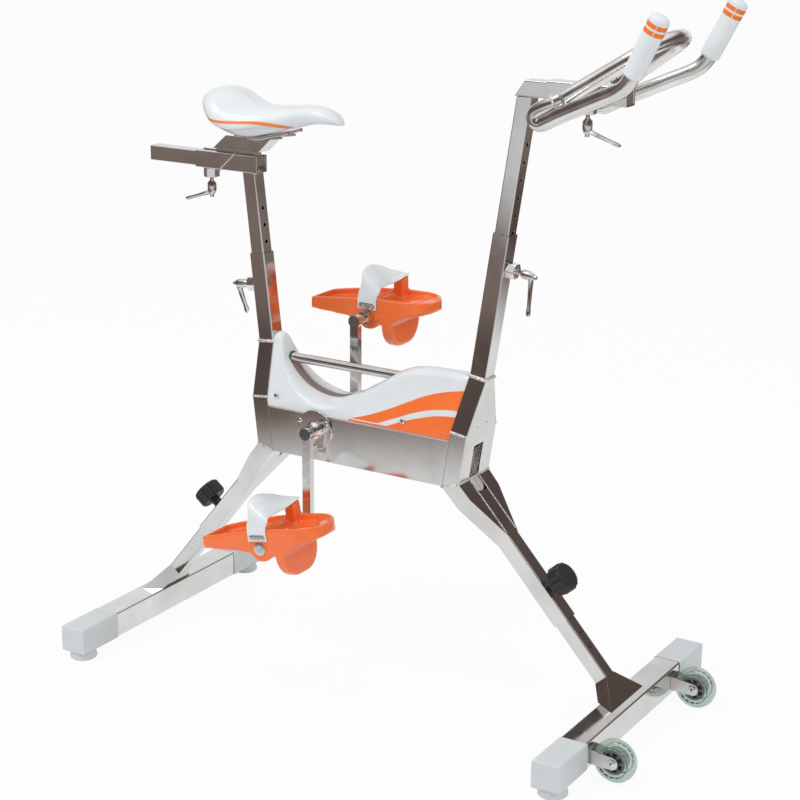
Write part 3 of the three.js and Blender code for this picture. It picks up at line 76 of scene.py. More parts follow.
# The bent frame in millimetres: each end's knee, with its lean and leg angle in degrees
KNEE_Z = 401.0
ENDS = {
    "front": {"facing": 1, "knee": 174.0, "lean": 8.8, "leg": 42.15},
    "rear": {"facing": -1, "knee": -211.4, "lean": 6.5, "leg": 39.0},
}
FLARE_Z, WELD_Z = 495.0, 588.0
TUBE_HALF, FRAME_HALF = 15.6, 52.0

# The cover in millimetres; its groove starts and ends at shares of the way from rear to front
COVER_FLOOR_Z, COVER_PEAK_Z = 480.0, 606.0
COVER_CROWN, COVER_GROOVE = 14.0, 9.0
CROWN_STEPS = 6
GROOVE_HALF, GROOVE_BROWN_DEPTH = 10.5, 1.5
GROOVE_START, GROOVE_END = 0.068, 0.4
COVER_SIDE = 51.0

# The crossbar's rear collar, crank, pedals, saddle, stem and wheels in millimetres; the tilt is in degrees
CROSSBAR_X, CROSSBAR_Z = -186.5, 562.0
CRANK = (-101.3, 453.5)
PEDAL_ARM, PEDAL_PITCH = 169.0, 11.0
PEDAL_INNER = {"near": -224.0, "far": 118.0}
SADDLE_START, SADDLE_LENGTH = -352.0, 276.0
STEM_Z, BAR_RADIUS = 1079.0, 12.5
WHEEL_X, WHEEL_Y, WHEEL_RADIUS = 552.4, 161.0, 37.3


def frame_x(x):
    return (x + SHIFT_X) * MM


def bike(x, y, z):
    """A point in the bike's drawing, in millimetres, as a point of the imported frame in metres."""
    return Vector((frame_x(x), y * MM, z * MM))


def leaning(end, degrees, x, y, z):
    """A point in axes that turn round a knee, with z along the tube."""
    knee, a = ENDS[end]["knee"], math.radians(degrees)
    return bike(knee + x * math.cos(a) + z * math.sin(a), y, KNEE_Z - x * math.sin(a) + z * math.cos(a))


def on_post(end, x, y, z):
    """A point in a post's own axes: x forward, y left, z up along the post from the knee."""
    return leaning(end, ENDS[end]["facing"] * ENDS[end]["lean"], x, y, z)


def on_leg(end, x, y, z):
    """A point in a leg's own axes: z runs up the leg to the knee."""
    return leaning(end, -ENDS[end]["facing"] * ENDS[end]["leg"], x, y, z)


def on_stem(x, y, z):
    """A point of the handlebar, its height counted from the axis of the stem tube."""
    return bike(x, y, STEM_Z + z)


# Settings that a user would change


def tint(name, description, default):
    return bpy.props.FloatVectorProperty(
        name=name, description=description, subtype="COLOR", size=3, min=0, max=1, default=default)


class BikeFinishes(bpy.types.PropertyGroup):
    steel: tint("Steel", "Colour of the polished stainless steel", (0.8, 0.78, 0.76))
    steel_roughness: bpy.props.FloatProperty(
        name="Steel roughness", description="How blurred the steel's reflections are",
        subtype="FACTOR", min=0, max=1, default=0.085)
    orange: tint("Orange", "Colour of the pedal shells and the stripes", (1.0, 0.185, 0.038))
    white: tint("White", "Colour of the moulded shells and grips", (0.77, 0.81, 0.83))
    black: tint("Black", "Colour of the knobs and wheel hubs", (0.02, 0.021, 0.022))
    tyre: tint("Tyre", "Tint of the clear wheel tyres", (0.63, 0.745, 0.67))


def length(name, description, low, high, default):
    return bpy.props.FloatProperty(
        name=name, description=description, subtype="DISTANCE", unit="LENGTH",
        min=low, max=high, default=default)


class BikeTrim(bpy.types.PropertyGroup):
    edge: length("Edge rounding", "Width of the rounding on hard edges", 0, 0.005, 0.0007)
    weld: length("Weld bead", "Radius of the weld beads", 0.0005, 0.005, 0.0028)
    screw: length("Screw head", "Radius of the cover's screw heads", 0.002, 0.01, 0.0048)


class BikeStage(bpy.types.PropertyGroup):
    floor: tint("Floor", "Colour of the floor and the far background", (1.0, 1.0, 1.0))
    fill: bpy.props.FloatProperty(
        name="Room light", description="Strength of the even light from all round",
        min=0, max=3, default=0.66)
    glow: bpy.props.FloatProperty(
        name="Floor whiteness", description="Share of plain white that the camera sees in the floor",
        subtype="FACTOR", min=0, max=1, default=0.93)
    key: bpy.props.FloatProperty(
        name="Key lamp", description="Power of the large soft lamp over the camera's left",
        unit="POWER", min=0, max=500, default=52)


def settings():
    scene = bpy.context.scene
    return scene.bike_finishes, scene.bike_trim, scene.bike_stage


# Small helpers for modelling by operators


def eased(value, start, end):
    """Nought at the start and one at the end, with soft ends."""
    t = min(1, max(0, (value - start) / (end - start)))
    return t * t * (3 - 2 * t)


def deselect():
    if bpy.context.object and bpy.context.object.mode != "OBJECT":
        bpy.ops.object.mode_set(mode="OBJECT")
    bpy.ops.object.select_all(action="DESELECT")


def select(obj):
    deselect()
    obj.select_set(True)
    bpy.context.view_layer.objects.active = obj
    return obj


def in_edit(obj, *steps):
    """Runs the given edit-mode steps on all of the object's mesh."""
    select(obj)
    bpy.ops.object.mode_set(mode="EDIT")
    bpy.ops.mesh.select_all(action="SELECT")
    for step in steps:
        step()
    bpy.ops.object.mode_set(mode="OBJECT")
    return obj


def face_out():
    bpy.ops.mesh.normals_make_consistent(inside=False)


def merge(distance):
    """An edit step that joins points closer than a distance."""
    return lambda: bpy.ops.mesh.remove_doubles(threshold=distance)


def new_object(name, mesh):
    obj = bpy.data.objects.new(name, mesh)
    bpy.context.scene.collection.objects.link(obj)
    return obj


def apply_modifier(obj, kind, name, **values):
    modifier = obj.modifiers.new(name, kind)
    for key, value in values.items():
        setattr(modifier, key, value)
    select(obj)
    bpy.ops.object.modifier_apply(modifier=modifier.name)
    return obj


def rounded(obj, width, angle, segments=2, **values):
    """Rounds the edges that are sharper than an angle."""
    return apply_modifier(obj, "BEVEL", "Rounding", width=width, segments=segments, limit_method="ANGLE",
                          angle_limit=math.radians(angle), **values)


def smooth(obj, angle=35):
    select(obj)
    bpy.ops.object.shade_smooth_by_angle(angle=math.radians(angle))
    return obj


def settle(obj, body, slot, *nodes):
    """Puts the piece on its body and hides the solids that it stands for."""
    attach(obj, body)
    if nodes:
        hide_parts(*nodes)
    return obj


def wear(obj, finish):
    obj.data.materials.clear()
    obj.data.materials.append(paints()[finish])
    return obj


def merged_copy(node, name):
    """A copy of a solid with its loose triangles joined and its flat faces made whole."""
    obj = new_object(name, frame["nodes"][node].data.copy())
    return in_edit(obj, merge(POINT_GAP),
                   lambda: bpy.ops.mesh.dissolve_limited(angle_limit=math.radians(0.6)), face_out)


def dress(node, finish, edge=None, angle=35, segments=2):
    """A solid's own shape with rounded edges and smooth curves, in place of the solid."""
    obj = merged_copy(node, node + "_finished")
    width = settings()[1].edge if edge is None else edge
    if width:
        rounded(obj, width, min(40, angle), segments, use_clamp_overlap=True)
    smooth(obj, angle)
    apply_modifier(obj, "WEIGHTED_NORMAL", "Flat faces", weight=100, keep_sharp=True)
    body = next(body for body, members in BEHAVIOUR["bodies"].items() if node in members)
    slot = next(part["material_slot"] for part in frame["record"]["subparts"] if part["node"] == node)
    return settle(wear(obj, finish), body, slot, node)


def axis_turn(direction, spin=0.0):
    """The rotation that takes +Z to a direction, after a spin about +Z."""
    turn = AXIS_Z.rotation_difference(direction.normalized()).to_matrix().to_4x4()
    return turn @ Matrix.Rotation(spin, 4, "Z")


def put(obj, origin, direction, spin=0.0):
    obj.data.transform(Matrix.Translation(origin) @ axis_turn(direction, spin))
    obj.data.update()
    return obj


def lathe(name, profile, finish, steps=32, angle=360):
    """A profile of (radius, height) pairs in millimetres spun about Z."""
    mesh = bpy.data.meshes.new(name)
    points = [(r * MM, 0, z * MM) for r, z in profile]
    mesh.from_pydata(points, [(i, i + 1) for i in range(len(points) - 1)], [])
    obj = new_object(name, mesh)
    in_edit(
        obj,
        lambda: bpy.ops.mesh.spin(steps=steps, angle=math.radians(angle), center=(0, 0, 0), axis=(0, 0, 1)),
        lambda: bpy.ops.mesh.select_all(action="SELECT"),
        merge(0.000005),
        face_out,
    )
    return wear(obj, finish)


def ribbon_tube(name, points, radius, finish, closed=False, sides=3):
    """A round bead along a path of points."""
    curve = bpy.data.curves.new(name, "CURVE")
    curve.dimensions = "3D"
    curve.bevel_depth = radius
    curve.bevel_resolution = sides
    curve.use_fill_caps = True
    spline = curve.splines.new("POLY")
    spline.points.add(len(points) - 1)
    for place, point in zip(spline.points, points):
        place.co = (*point, 1)
    spline.use_cyclic_u = closed
    select(new_object(name, curve))
    bpy.ops.object.convert(target="MESH")
    obj = in_edit(bpy.context.object, merge(0.00001), face_out)
    return wear(smooth(obj, 60), finish)


def between(first, second, start, end, t):
    return ((end - t) * first + (t - start) * second) / (end - start)


def smooth_path(points, steps):
    """Points of a curve that runs evenly through the given ones."""
    ends = [points[0] * 2 - points[1], *points, points[-1] * 2 - points[-2]]
    path = []
    for a, b, c, d in zip(ends, ends[1:], ends[2:], ends[3:]):
        knots = [0.0]
        for p, q in ((a, b), (b, c), (c, d)):
            knots.append(knots[-1] + max((q - p).length, 1e-6) ** 0.5)
        for step in range(steps):
            t = knots[1] + (knots[2] - knots[1]) * step / steps
            row = [a, b, c, d]
            for level in (1, 2):
                row = [between(row[i], row[i + 1], knots[i], knots[i + level], t) for i in range(4 - level)]
            path.append(between(*row, knots[1], knots[2], t))
    path.append(points[-1])
    return path


def ring_round(middle, direction, radius):
    """Twenty points of a circle square to a direction; the radius is in metres."""
    turn = axis_turn(Vector(direction))
    angles = [math.tau * i / 20 for i in range(20)]
    return [middle + turn @ (Vector((math.cos(a), math.sin(a), 0)) * radius) for a in angles]


def joined(name, pieces):
    """One object from several that move together."""
    deselect()
    for piece in pieces:
        piece.select_set(True)
    bpy.context.view_layer.objects.active = pieces[0]
    bpy.ops.object.join()
    obj = bpy.context.object
    obj.name = name
    obj.data.name = name
    return obj


# Materials


def feed(tree, node, inputs):
    """Links or sets a node's inputs."""
    for key, value in inputs.items():
        if isinstance(value, bpy.types.NodeSocket):
            tree.links.new(value, node.inputs[key])
        else:
            node.inputs[key].default_value = value
    return node


def add_node(tree, kind, inputs=None, **values):
    """A new node with its settings, its input values and its links."""
    node = tree.nodes.new(kind)
    for key, value in values.items():
        setattr(node, key, value)
    return feed(tree, node, inputs or {})


def mixed(tree, factor, first, second):
    """A blend of two colours, each of them a socket or three numbers."""
    first, second = (c if isinstance(c, bpy.types.NodeSocket) else (*c, 1) for c in (first, second))
    return add_node(tree, "ShaderNodeMix", {0: factor, 6: first, 7: second}, data_type="RGBA").outputs[2]


class Paint:
    """A node material with its surface shader at hand."""

    def __init__(self, name, color, roughness, metallic=0.0, **sockets):
        material = bpy.data.materials.new(name)
        material.use_nodes = True
        self.tree = material.node_tree
        self.surface = self.tree.nodes["Principled BSDF"]
        looks = {"Base Color": (*color, 1), "Roughness": roughness, "Metallic": metallic}
        looks.update((key.replace("_", " "), value) for key, value in sockets.items())
        feed(self.tree, self.surface, looks)
        self.place = self.add("ShaderNodeTexCoord").outputs["Object"]

    def add(self, kind, inputs=None, **values):
        return add_node(self.tree, kind, inputs, **values)

    def set(self, socket, value):
        feed(self.tree, self.surface, {socket: value})

    def noise(self, scale, detail=4.0, place=None):
        inputs = {"Vector": place or self.place, "Scale": scale, "Detail": detail}
        return self.add("ShaderNodeTexNoise", inputs).outputs["Fac"]

    def spread(self, value, low, high, start=0.3, end=0.7):
        inputs = {"Value": value, "From Min": start, "From Max": end, "To Min": low, "To Max": high}
        return self.add("ShaderNodeMapRange", inputs).outputs["Result"]

    def drift(self, scale, color, weak, strong, detail=3):
        """A colour whose tone drifts between two strengths."""
        share = self.spread(self.noise(scale, detail), 0, 1)
        return mixed(self.tree, share, toned(color, weak), toned(color, strong))

    def math(self, operation, first, second=0.0):
        return self.add("ShaderNodeMath", {0: first, 1: second}, operation=operation).outputs[0]

    def bump(self, height, strength, distance=0.0005):
        inputs = {"Height": height, "Strength": strength, "Distance": distance}
        self.set("Normal", self.add("ShaderNodeBump", inputs).outputs["Normal"])


def toned(color, factor):
    return tuple(min(1.0, c * factor) for c in color)


def steel_paint(name, tone=1.0, roughness=None, grain=(900, 900, 60), brushed=0.02):
    """Polished stainless steel with a faint drawn grain, clouding and handling marks."""
    finishes = settings()[0]
    base = toned(finishes.steel, tone)
    rough = finishes.steel_roughness if roughness is None else roughness
    paint = Paint(name, base, rough, 1.0)
    paint.set("Base Color", paint.drift(9, base, 0.86, 1.1, 5))
    paint.set("Roughness", paint.spread(paint.noise(42, 8), rough * 0.7, rough * 1.5))
    stretched = paint.add("ShaderNodeMapping", {"Vector": paint.place, "Scale": grain}).outputs[0]
    paint.bump(paint.noise(1, 3, stretched), brushed, 0.0004)


def moulded_paint(name, color, roughness, texture=700, bump=0.05, **sockets):
    """Injection-moulded plastic: slight colour drift, soft gloss changes and a fine skin."""
    paint = Paint(name, color, roughness, 0.0, **sockets)
    paint.set("Base Color", paint.drift(14, color, 0.97, 1.03))
    paint.set("Roughness", paint.spread(paint.noise(60, 5), roughness * 0.85, roughness * 1.2))
    paint.bump(paint.noise(texture, 2), bump, 0.0003)


def weld_paint():
    """A ground weld bead: bright ripples with a little heat tint in the hollows."""
    base = settings()[0].steel
    paint = Paint("weld_bead", base, 0.35, 0.55)
    ripples = paint.noise(330, 2)
    share = paint.spread(ripples, 0, 1, 0.35, 0.55)
    paint.set("Base Color", mixed(paint.tree, share, (0.5, 0.44, 0.4), toned(base, 1.25)))
    paint.set("Roughness", paint.spread(ripples, 0.5, 0.3))
    paint.bump(ripples, 0.9, 0.002)


def along_and_up(paint):
    parts = paint.add("ShaderNodeSeparateXYZ", {"Vector": paint.place}).outputs
    return parts[0], parts[2]


def above(paint, along, up, points, low, high):
    """One above a drawn line and nought below it; the line's points are millimetres in the bike's drawing."""
    span = (points[0][0], points[-1][0])
    share = paint.spread(along, 0, 1, frame_x(span[0]), frame_x(span[1]))
    node = paint.add("ShaderNodeFloatCurve", {"Value": share})
    line = node.mapping.curves[0]
    shares = [((x - span[0]) / (span[1] - span[0]), (z - low) / (high - low)) for x, z in points]
    line.points[0].location = shares[0]
    line.points[1].location = shares[-1]
    for share_point in shares[1:-1]:
        line.points.new(*share_point)
    node.mapping.update()
    level = paint.spread(node.outputs[0], low * MM, high * MM, 0, 1)
    return paint.spread(paint.math("SUBTRACT", up, level), 0, 1, -0.0004, 0.0004)


def stripe(paint, mask, orange, weak, strong):
    """White all over, but orange where the mask is one."""
    inside = paint.add("ShaderNodeClamp", {"Value": mask}).outputs[0]
    white = paint.drift(14, settings()[0].white, 0.95, 1.03)
    paint.set("Base Color", mixed(paint.tree, inside, white, paint.drift(25, orange, weak, strong)))


def cover_paint():
    """The white cover with its plain orange sweep on both flanks."""
    finishes = settings()[0]
    paint = Paint("cover_gloss", finishes.white, 0.2, 0.0, Coat_Weight=0.3, Coat_Roughness=0.08)
    along, up = along_and_up(paint)
    low, high, start = 470.0, 600.0, -34
    top = [(start, 486), (0, 496), (40, 512), (80, 531), (110, 545), (140, 555), (190, 565)]
    gap_top = [(26, 487), (60, 501), (100, 517), (140, 527), (190, 531)]
    gap_low = [(44, 485), (75, 498), (105, 508), (140, 517), (190, 521)]
    lines = (top, gap_top, gap_low)
    over_top, over_gap, over_low = (above(paint, along, up, line, low, high) for line in lines)
    in_gap = paint.math("SUBTRACT", over_low, over_gap)
    started = paint.spread(along, 0, 1, frame_x(start), frame_x(start + 1))
    under_top, out_of_gap = (paint.math("SUBTRACT", 1.0, mask) for mask in (over_top, in_gap))
    banded = paint.math("MULTIPLY", under_top, out_of_gap)
    stripe(paint, paint.math("MULTIPLY", banded, started), finishes.orange, 0.93, 1.05)
    paint.set("Roughness", paint.spread(paint.noise(60, 5), 0.16, 0.26))
    paint.bump(paint.noise(600, 2), 0.03, 0.0003)


def saddle_paint():
    """The white saddle with the orange flash along its lower flank."""
    paint = Paint("saddle_gloss", settings()[0].white, 0.22, 0.0, Coat_Weight=0.25, Coat_Roughness=0.1)
    along, up = along_and_up(paint)
    low, high, start, end = 940.0, 1040.0, -345, -160
    top = [(start, 1004), (-330, 997), (-315, 991), (-290, 987.5), (-260, 987), (-230, 987.5), (-205, 986),
           (-180, 982), (end, 978.5)]
    foot = [(start, 1000), (-330, 991.5), (-315, 986), (-290, 982.5), (-260, 982), (-230, 982), (-205, 979),
            (-185, 975.5), (end, 978)]
    over_top, over_foot = (above(paint, along, up, line, low, high) for line in (top, foot))
    band = paint.math("MULTIPLY", over_foot, paint.math("SUBTRACT", 1.0, over_top))
    inside = paint.math("MULTIPLY", paint.spread(along, 0, 1, frame_x(start), frame_x(start + 2)),
                        paint.spread(along, 1, 0, frame_x(end - 3), frame_x(end)))
    stripe(paint, paint.math("MULTIPLY", band, inside), (0.93, 0.24, 0.06), 0.96, 1.04)
    paint.bump(paint.noise(900, 2), 0.06, 0.0003)


def mix_paints():
    """Makes every finish; the names are those that the pieces below ask for."""
    finishes = settings()[0]
    steel_paint("steel_polished")
    steel_paint("steel_lengthwise", grain=(60, 900, 900))
    steel_paint("steel_crosswise", grain=(900, 60, 900))
    steel_paint("steel_bent_tube", 1.12, 0.2, (90, 90, 90), 0.01)
    steel_paint("steel_cast", 0.95, 0.1, (45, 45, 30), 1.0)
    steel_paint("steel_chrome", 1.15, 0.07, (60, 60, 60), 0.01)
    steel_paint("steel_satin", 0.9, 0.3, (300, 300, 900), 0.08)
    moulded_paint("orange_gloss", finishes.orange, 0.24, 500, 0.03, Coat_Weight=0.5, Coat_Roughness=0.08,
                  Subsurface_Weight=0.15, Subsurface_Scale=0.004)
    moulded_paint("white_gloss", finishes.white, 0.24, 800, 0.03, Coat_Weight=0.25, Coat_Roughness=0.1)
    moulded_paint("white_satin", toned(finishes.white, 0.86), 0.42, 500, 0.1)
    moulded_paint("grip_rubber", toned(finishes.white, 1.02), 0.33, 900, 0.08)
    # Black of the ribbed knobs, also used as the painted shade of the screws' hex sockets.
    moulded_paint("black_ribbed_and_socket_shade", finishes.black, 0.42, 400, 0.2)
    moulded_paint("cap_grey", (0.055, 0.066, 0.072), 0.3, 600, 0.05)
    moulded_paint("tyre_clear", finishes.tyre, 0.08, 300, 0.02, Transmission_Weight=0.74, IOR=1.01,
                  Coat_Weight=0.9, Coat_Roughness=0.06)
    moulded_paint("hub_grey", (0.11, 0.125, 0.14), 0.26, 400, 0.08)
    # Painted shade and reflection for the recess liners: the brown-grey stands for the dark reflection inside
    # the front post's recess, and the pale grey for the bright reflection in the front leg's recess. The pale
    # grey is also the lanyard's own colour.
    moulded_paint("steel_shaded", (0.72, 0.64, 0.61), 0.35, 90, 0.03, Coat_Weight=0.2)
    moulded_paint("pale_grey_and_painted_reflection", (0.62, 0.61, 0.6), 0.3, 90, 0.1, Coat_Weight=0.5)
    moulded_paint("ring_orange", (0.93, 0.2, 0.02), 0.3, 500, 0.03)
    # A brown-grey for the deep middle of the cover groove's floor.
    moulded_paint("groove_floor_brown", (0.36, 0.31, 0.29), 0.22, 60, 0.05, Coat_Weight=0.6)
    weld_paint()
    cover_paint()
    saddle_paint()


def paints():
    """The finishes by their names, made once and shared."""
    if "steel_polished" not in bpy.data.materials:
        mix_paints()
    return bpy.data.materials


# Operators: one for each piece or group of like pieces


class BIKE_OT_frame(bpy.types.Operator):
    """Polishes the bent frame, its sleeves, the housing channel and the carrying bar"""
    bl_idname = "bike.frame"
    bl_label = "Frame steel"

    def execute(self, context):
        for end in ENDS:
            for part in ("sleeve", "side_plate_near", "side_plate_far", "plate", "leg_socket"):
                dress(f"{end}_{part}", "steel_polished", angle=35 if part == "sleeve" else 18)
        dress("housing_channel", "steel_lengthwise")
        dress("crossbar", "steel_lengthwise", angle=40)
        # The liners carry painted shade and reflection: a dark brown-grey in the post's recess and a pale
        # grey in the leg's recess, in place of the steel's reflections there.
        liners = [recess_liner(on_post, 12.4, 32, (33, 78), "steel_shaded"),
                  recess_liner(on_leg, 12.8, -16.5, (30.5, 37), "pale_grey_and_painted_reflection")]
        settle(joined("front_frame_painted_reflection_liners", liners), "frame", "steel")
        return {"FINISHED"}


def recess_liner(point, x, z, size, finish):
    """The plate at the bottom of a recess in the front post or leg, in a non-metal colour: painted shade and
    reflection in place of the steel's own.
    """
    middle = point("front", x, 0, z)
    forward = (point("front", x + 1, 0, z) - middle).normalized()
    upward = (point("front", x, 0, z + 1) - middle).normalized()
    turn = Matrix((upward.cross(forward), forward, upward)).transposed().to_4x4()
    depth = 1.2
    liner = rounded_plate("liner", *size, depth, finish)
    liner.data.transform(Matrix.Translation(middle) @ turn)
    return liner


class BIKE_OT_posts(bpy.types.Operator):
    """Polishes the sliding posts, the seat slider, the stem and the sliding legs"""
    bl_idname = "bike.posts"
    bl_label = "Sliding tubes"

    def execute(self, context):
        for finish, nodes in (
            ("steel_polished", ("seat_post", "stem_post", "front_leg_tube", "rear_leg_tube")),
            ("steel_lengthwise", ("seat_sleeve", "seat_slider", "stem_tube", "stem_sleeve")),
            ("steel_crosswise", ("front_foot_bar", "rear_foot_bar")),
        ):
            for node in nodes:
                dress(node, finish, edge=TUBE_EDGE)
        dress("seat_bracket", "steel_polished")
        dress("seat_lanyard", "pale_grey_and_painted_reflection", edge=0, angle=60)
        end_plugs()
        return {"FINISHED"}


def end_plugs():
    """Steel plugs that close the open front ends of the seat's slider and the stem tube."""
    inset, corner = 0.6, 0.09
    turn = Matrix(((0, 1, 0), (1, 0, 0), (0, 0, 1))).to_4x4()
    for node, body, depth in (("seat_slider", "seat", 5.6), ("stem_tube", "stem_mast", 16.4)):
        low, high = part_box(node)
        width, height = ((high[axis] - low[axis]) / MM - inset for axis in (1, 2))
        plug = rounded_plate(f"{node}_end_plug", width, height, depth, "steel_polished", corner)
        middle = (Vector(low) + Vector(high)) / 2
        plug.data.transform(Matrix.Translation((high.x + depth * MM / 2, middle.y, middle.z)) @ turn)
        in_edit(plug, face_out)
        settle(plug, body, "steel")


class BIKE_OT_welds(bpy.types.Operator):
    """Lays the weld beads round the frame's joints"""
    bl_idname = "bike.welds"
    bl_label = "Weld beads"

    def execute(self, context):
        beads = [bead for end in ENDS for bead in end_beads(end)]
        settle(joined("frame_weld_beads", beads), "frame", "steel")
        lean = math.radians(ENDS["front"]["lean"])
        out = Vector((math.cos(lean), 0, -math.sin(lean)))
        dots = []
        for y, z in ((-17, 504), (17, 504), (-18, 481), (18, 481)):
            place = on_post("front", TUBE_HALF + 0.2, y, (z - KNEE_Z) / math.cos(lean))
            dot = lathe("dot", [(0, 0.5), (1.2, 0.35), (2.1, 0), (2.3, -0.6), (0, -0.6)], "weld_bead", 12)
            dots.append(put(smooth(dot, 50), place, out))
        settle(joined("plug_weld_dots", dots), "frame", "steel")
        return {"FINISHED"}


def end_beads(end):
    """Beads round the sleeve's foot and the knee, on the flare and down the leg."""
    e, half, wide = ENDS[end], TUBE_HALF, FRAME_HALF
    cosine = math.cos(math.radians(e["lean"]))
    weld, flare = (WELD_Z - KNEE_Z) / cosine, (FLARE_Z - KNEE_Z) / cosine
    rise = math.tan(math.radians(e["facing"] * (e["leg"] + e["lean"]) / 2))
    proud, corner = 1.2, 2.4
    s = half + proud
    c = s - corner
    ring = [(s, -c), (s, c), (c, s), (-c, s), (-s, c), (-s, -c), (-c, -s), (c, -s)]
    knee = [(-half, -wide), (half, -wide), (half, wide), (-half, wide)]
    runs = [
        ([on_post(end, x, y, weld) for x, y in ring], 1, True),
        *(([on_post(end, x, y, flare) for x in (-half, 0, half)], 0.75, False) for y in (-wide, wide)),
        ([on_post(end, x, y, x * rise) for x, y in knee], 0.8, True),
        *(([on_leg(end, e["facing"] * (half + 0.1), y, z) for z in (-2, -40, -80, -120)], 0.4, False)
          for y in (-half, half)),
    ]
    radius = settings()[1].weld
    return [ribbon_tube("bead", path, radius * share, "weld_bead", closed) for path, share, closed in runs]


# The cover's spine: share of the way from rear to front post, share of its full height
COVER_SPINE = ((0, 0.98), (0.018, 1), (0.037, 0.98), (0.05, 0.88), (0.063, 0.73), (0.079, 0.6),
               (0.118, 0.444), (0.167, 0.317), (0.23, 0.238), (0.295, 0.206), (0.347, 0.222), (0.4, 0.278),
               (0.465, 0.365), (0.515, 0.46), (0.565, 0.556), (0.61, 0.651), (0.65, 0.73), (0.69, 0.79),
               (0.735, 0.833), (0.784, 0.857), (0.883, 0.873), (1, 0.873))


def inward_face(end, z):
    e = ENDS[end]
    lean = math.radians(e["lean"])
    return e["knee"] + e["facing"] * ((z - KNEE_Z) * math.tan(lean) - TUBE_HALF / math.cos(lean) - 0.3)


def flank(z):
    """Half the cover's width at a height, which follows the flare of the frame."""
    slope = (FRAME_HALF - TUBE_HALF) / (WELD_Z - FLARE_Z)
    return min(FRAME_HALF, max(TUBE_HALF, FRAME_HALF - slope * (z - FLARE_Z))) - 1


def cover_ring(share, height):
    """A cross-section of the cover as points, and the depth of the groove there."""
    top = COVER_FLOOR_Z + height * (COVER_PEAK_Z - COVER_FLOOR_Z)
    shoulder = top - COVER_CROWN
    depth = COVER_GROOVE
    for fade in ((share - GROOVE_START) / 0.02, (GROOVE_END - share) / 0.1):
        depth *= min(1, max(0, fade))
    wide, low = flank(shoulder), min(FLARE_Z, shoulder)
    waist = (low + shoulder) / 2
    half = [(flank(low), COVER_FLOOR_Z + 0.3), (flank(low), low - 0.4), (flank(waist), waist)]
    lip = min(GROOVE_HALF, 0.6 * wide)
    for step in range(CROWN_STEPS + 1):
        a = math.acos(lip / wide) * step / CROWN_STEPS
        half.append((wide * math.cos(a), shoulder + COVER_CROWN * math.sin(a)))
    edge = half[-1][1]
    for y in (lip - 0.7, lip * 0.5, 0):
        crest = shoulder + COVER_CROWN * math.sqrt(1 - (y / wide) ** 2)
        half.append((y, min(crest, edge - depth * (1.1 - 0.1 * y / lip)) if depth > 0.3 else crest))
    ring = [*half, *((-y, z) for y, z in reversed(half[:-1]))]
    x_at = [(inward_face("rear", z), inward_face("front", z)) for _, z in ring]
    return [bike(a + share * (b - a), y, z) for (y, z), (a, b) in zip(ring, x_at)], depth


def moulded_cover():
    """One smooth crowned shell, with the hand groove that runs down the horn; the deep middle of the groove's
    floor is coloured brown-grey.
    """
    spine = smooth_path([Vector((share, height, 0)) for share, height in COVER_SPINE], 3)
    rings, depths = zip(*(cover_ring(share, height) for share, height, _ in spine))
    count = len(rings[0])
    faces = [(r * count + i, r * count + i + 1, (r + 1) * count + i + 1, (r + 1) * count + i)
             for r in range(len(rings) - 1) for i in range(count - 1)]
    mesh = bpy.data.meshes.new("cover_moulded")
    mesh.from_pydata([point for ring in rings for point in ring], [], faces)
    obj = wear(new_object("cover_moulded", mesh), "cover_gloss")
    obj.data.materials.append(paints()["groove_floor_brown"])
    # Faces down the deep middle of the groove's floor are coloured brown-grey.
    middle = count // 2
    for face, polygon in zip(faces, obj.data.polygons):
        r, i = divmod(face[0], count)
        if min(depths[r:r + 2]) > GROOVE_BROWN_DEPTH and middle - 3 <= i <= middle + 2:
            polygon.material_index = 1
    in_edit(obj, face_out)
    apply_modifier(obj, "SOLIDIFY", "Wall", thickness=0.0028, offset=-1)
    smooth(rounded(obj, 0.0006, 45), 50)
    settle(obj, "frame", "white_shell", "cover")


class BIKE_OT_cover(bpy.types.Operator):
    """Finishes the moulded cover with its brown-floored groove, its screws and its lower lips"""
    bl_idname = "bike.cover"
    bl_label = "Moulded cover"

    def execute(self, context):
        moulded_cover()
        profile = [(8.9, 0), (10.6, 0), (10.9, 0.8), (10.6, 1.8), (8.9, 1.8)]
        collar = smooth(lathe("crossbar_collar", profile, "cap_grey"), 40)
        settle(put(collar, bike(CROSSBAR_X, 0, CROSSBAR_Z), AXIS_X), "frame", "black_plastic")
        screws, lips = [], []
        radius, height = settings()[1].screw / MM, 2.2
        lip_y, lip_z = COVER_SIDE + 0.6, COVER_FLOOR_Z + 0.4
        for _, side in SIDES:
            for x, z in ((-187, 501), (77, 499)):
                screw = domed_screw(radius, height)
                screws.append(put(screw, bike(x, side * COVER_SIDE, z), side * AXIS_Y))
            path = [bike(x, side * lip_y, lip_z) for x in (-201, -20, 168)]
            lips.append(ribbon_tube("lip", path, 0.0015, "steel_chrome"))
        settle(joined("cover_screws", screws), "frame", "steel")
        settle(joined("channel_top_edges", lips), "frame", "steel")
        return {"FINISHED"}


def domed_screw(radius, height):
    """A domed screw head with a hex socket, standing on Z=0. The socket is a black six-sided disc just proud
    of the dome: painted shade in place of a hollow.
    """
    turns = [math.pi / 12 * step for step in range(1, 7)]
    dome = [(radius * math.sin(a), height * (0.25 + 0.75 * math.cos(a))) for a in turns]
    head = smooth(lathe("head", [(0, height), *dome, (radius, -0.6), (0, -0.6)], "steel_chrome", 20), 40)
    hole, brim, bottom = radius * 0.38, height + 0.05, height - 0.5
    # Painted shade: a black disc stands for the dark inside of the hex socket.
    socket = lathe("socket", [(0, brim), (hole, brim), (hole, bottom), (0, bottom)], "black_ribbed_and_socket_shade", 6)
    return joined("screw", [head, socket])


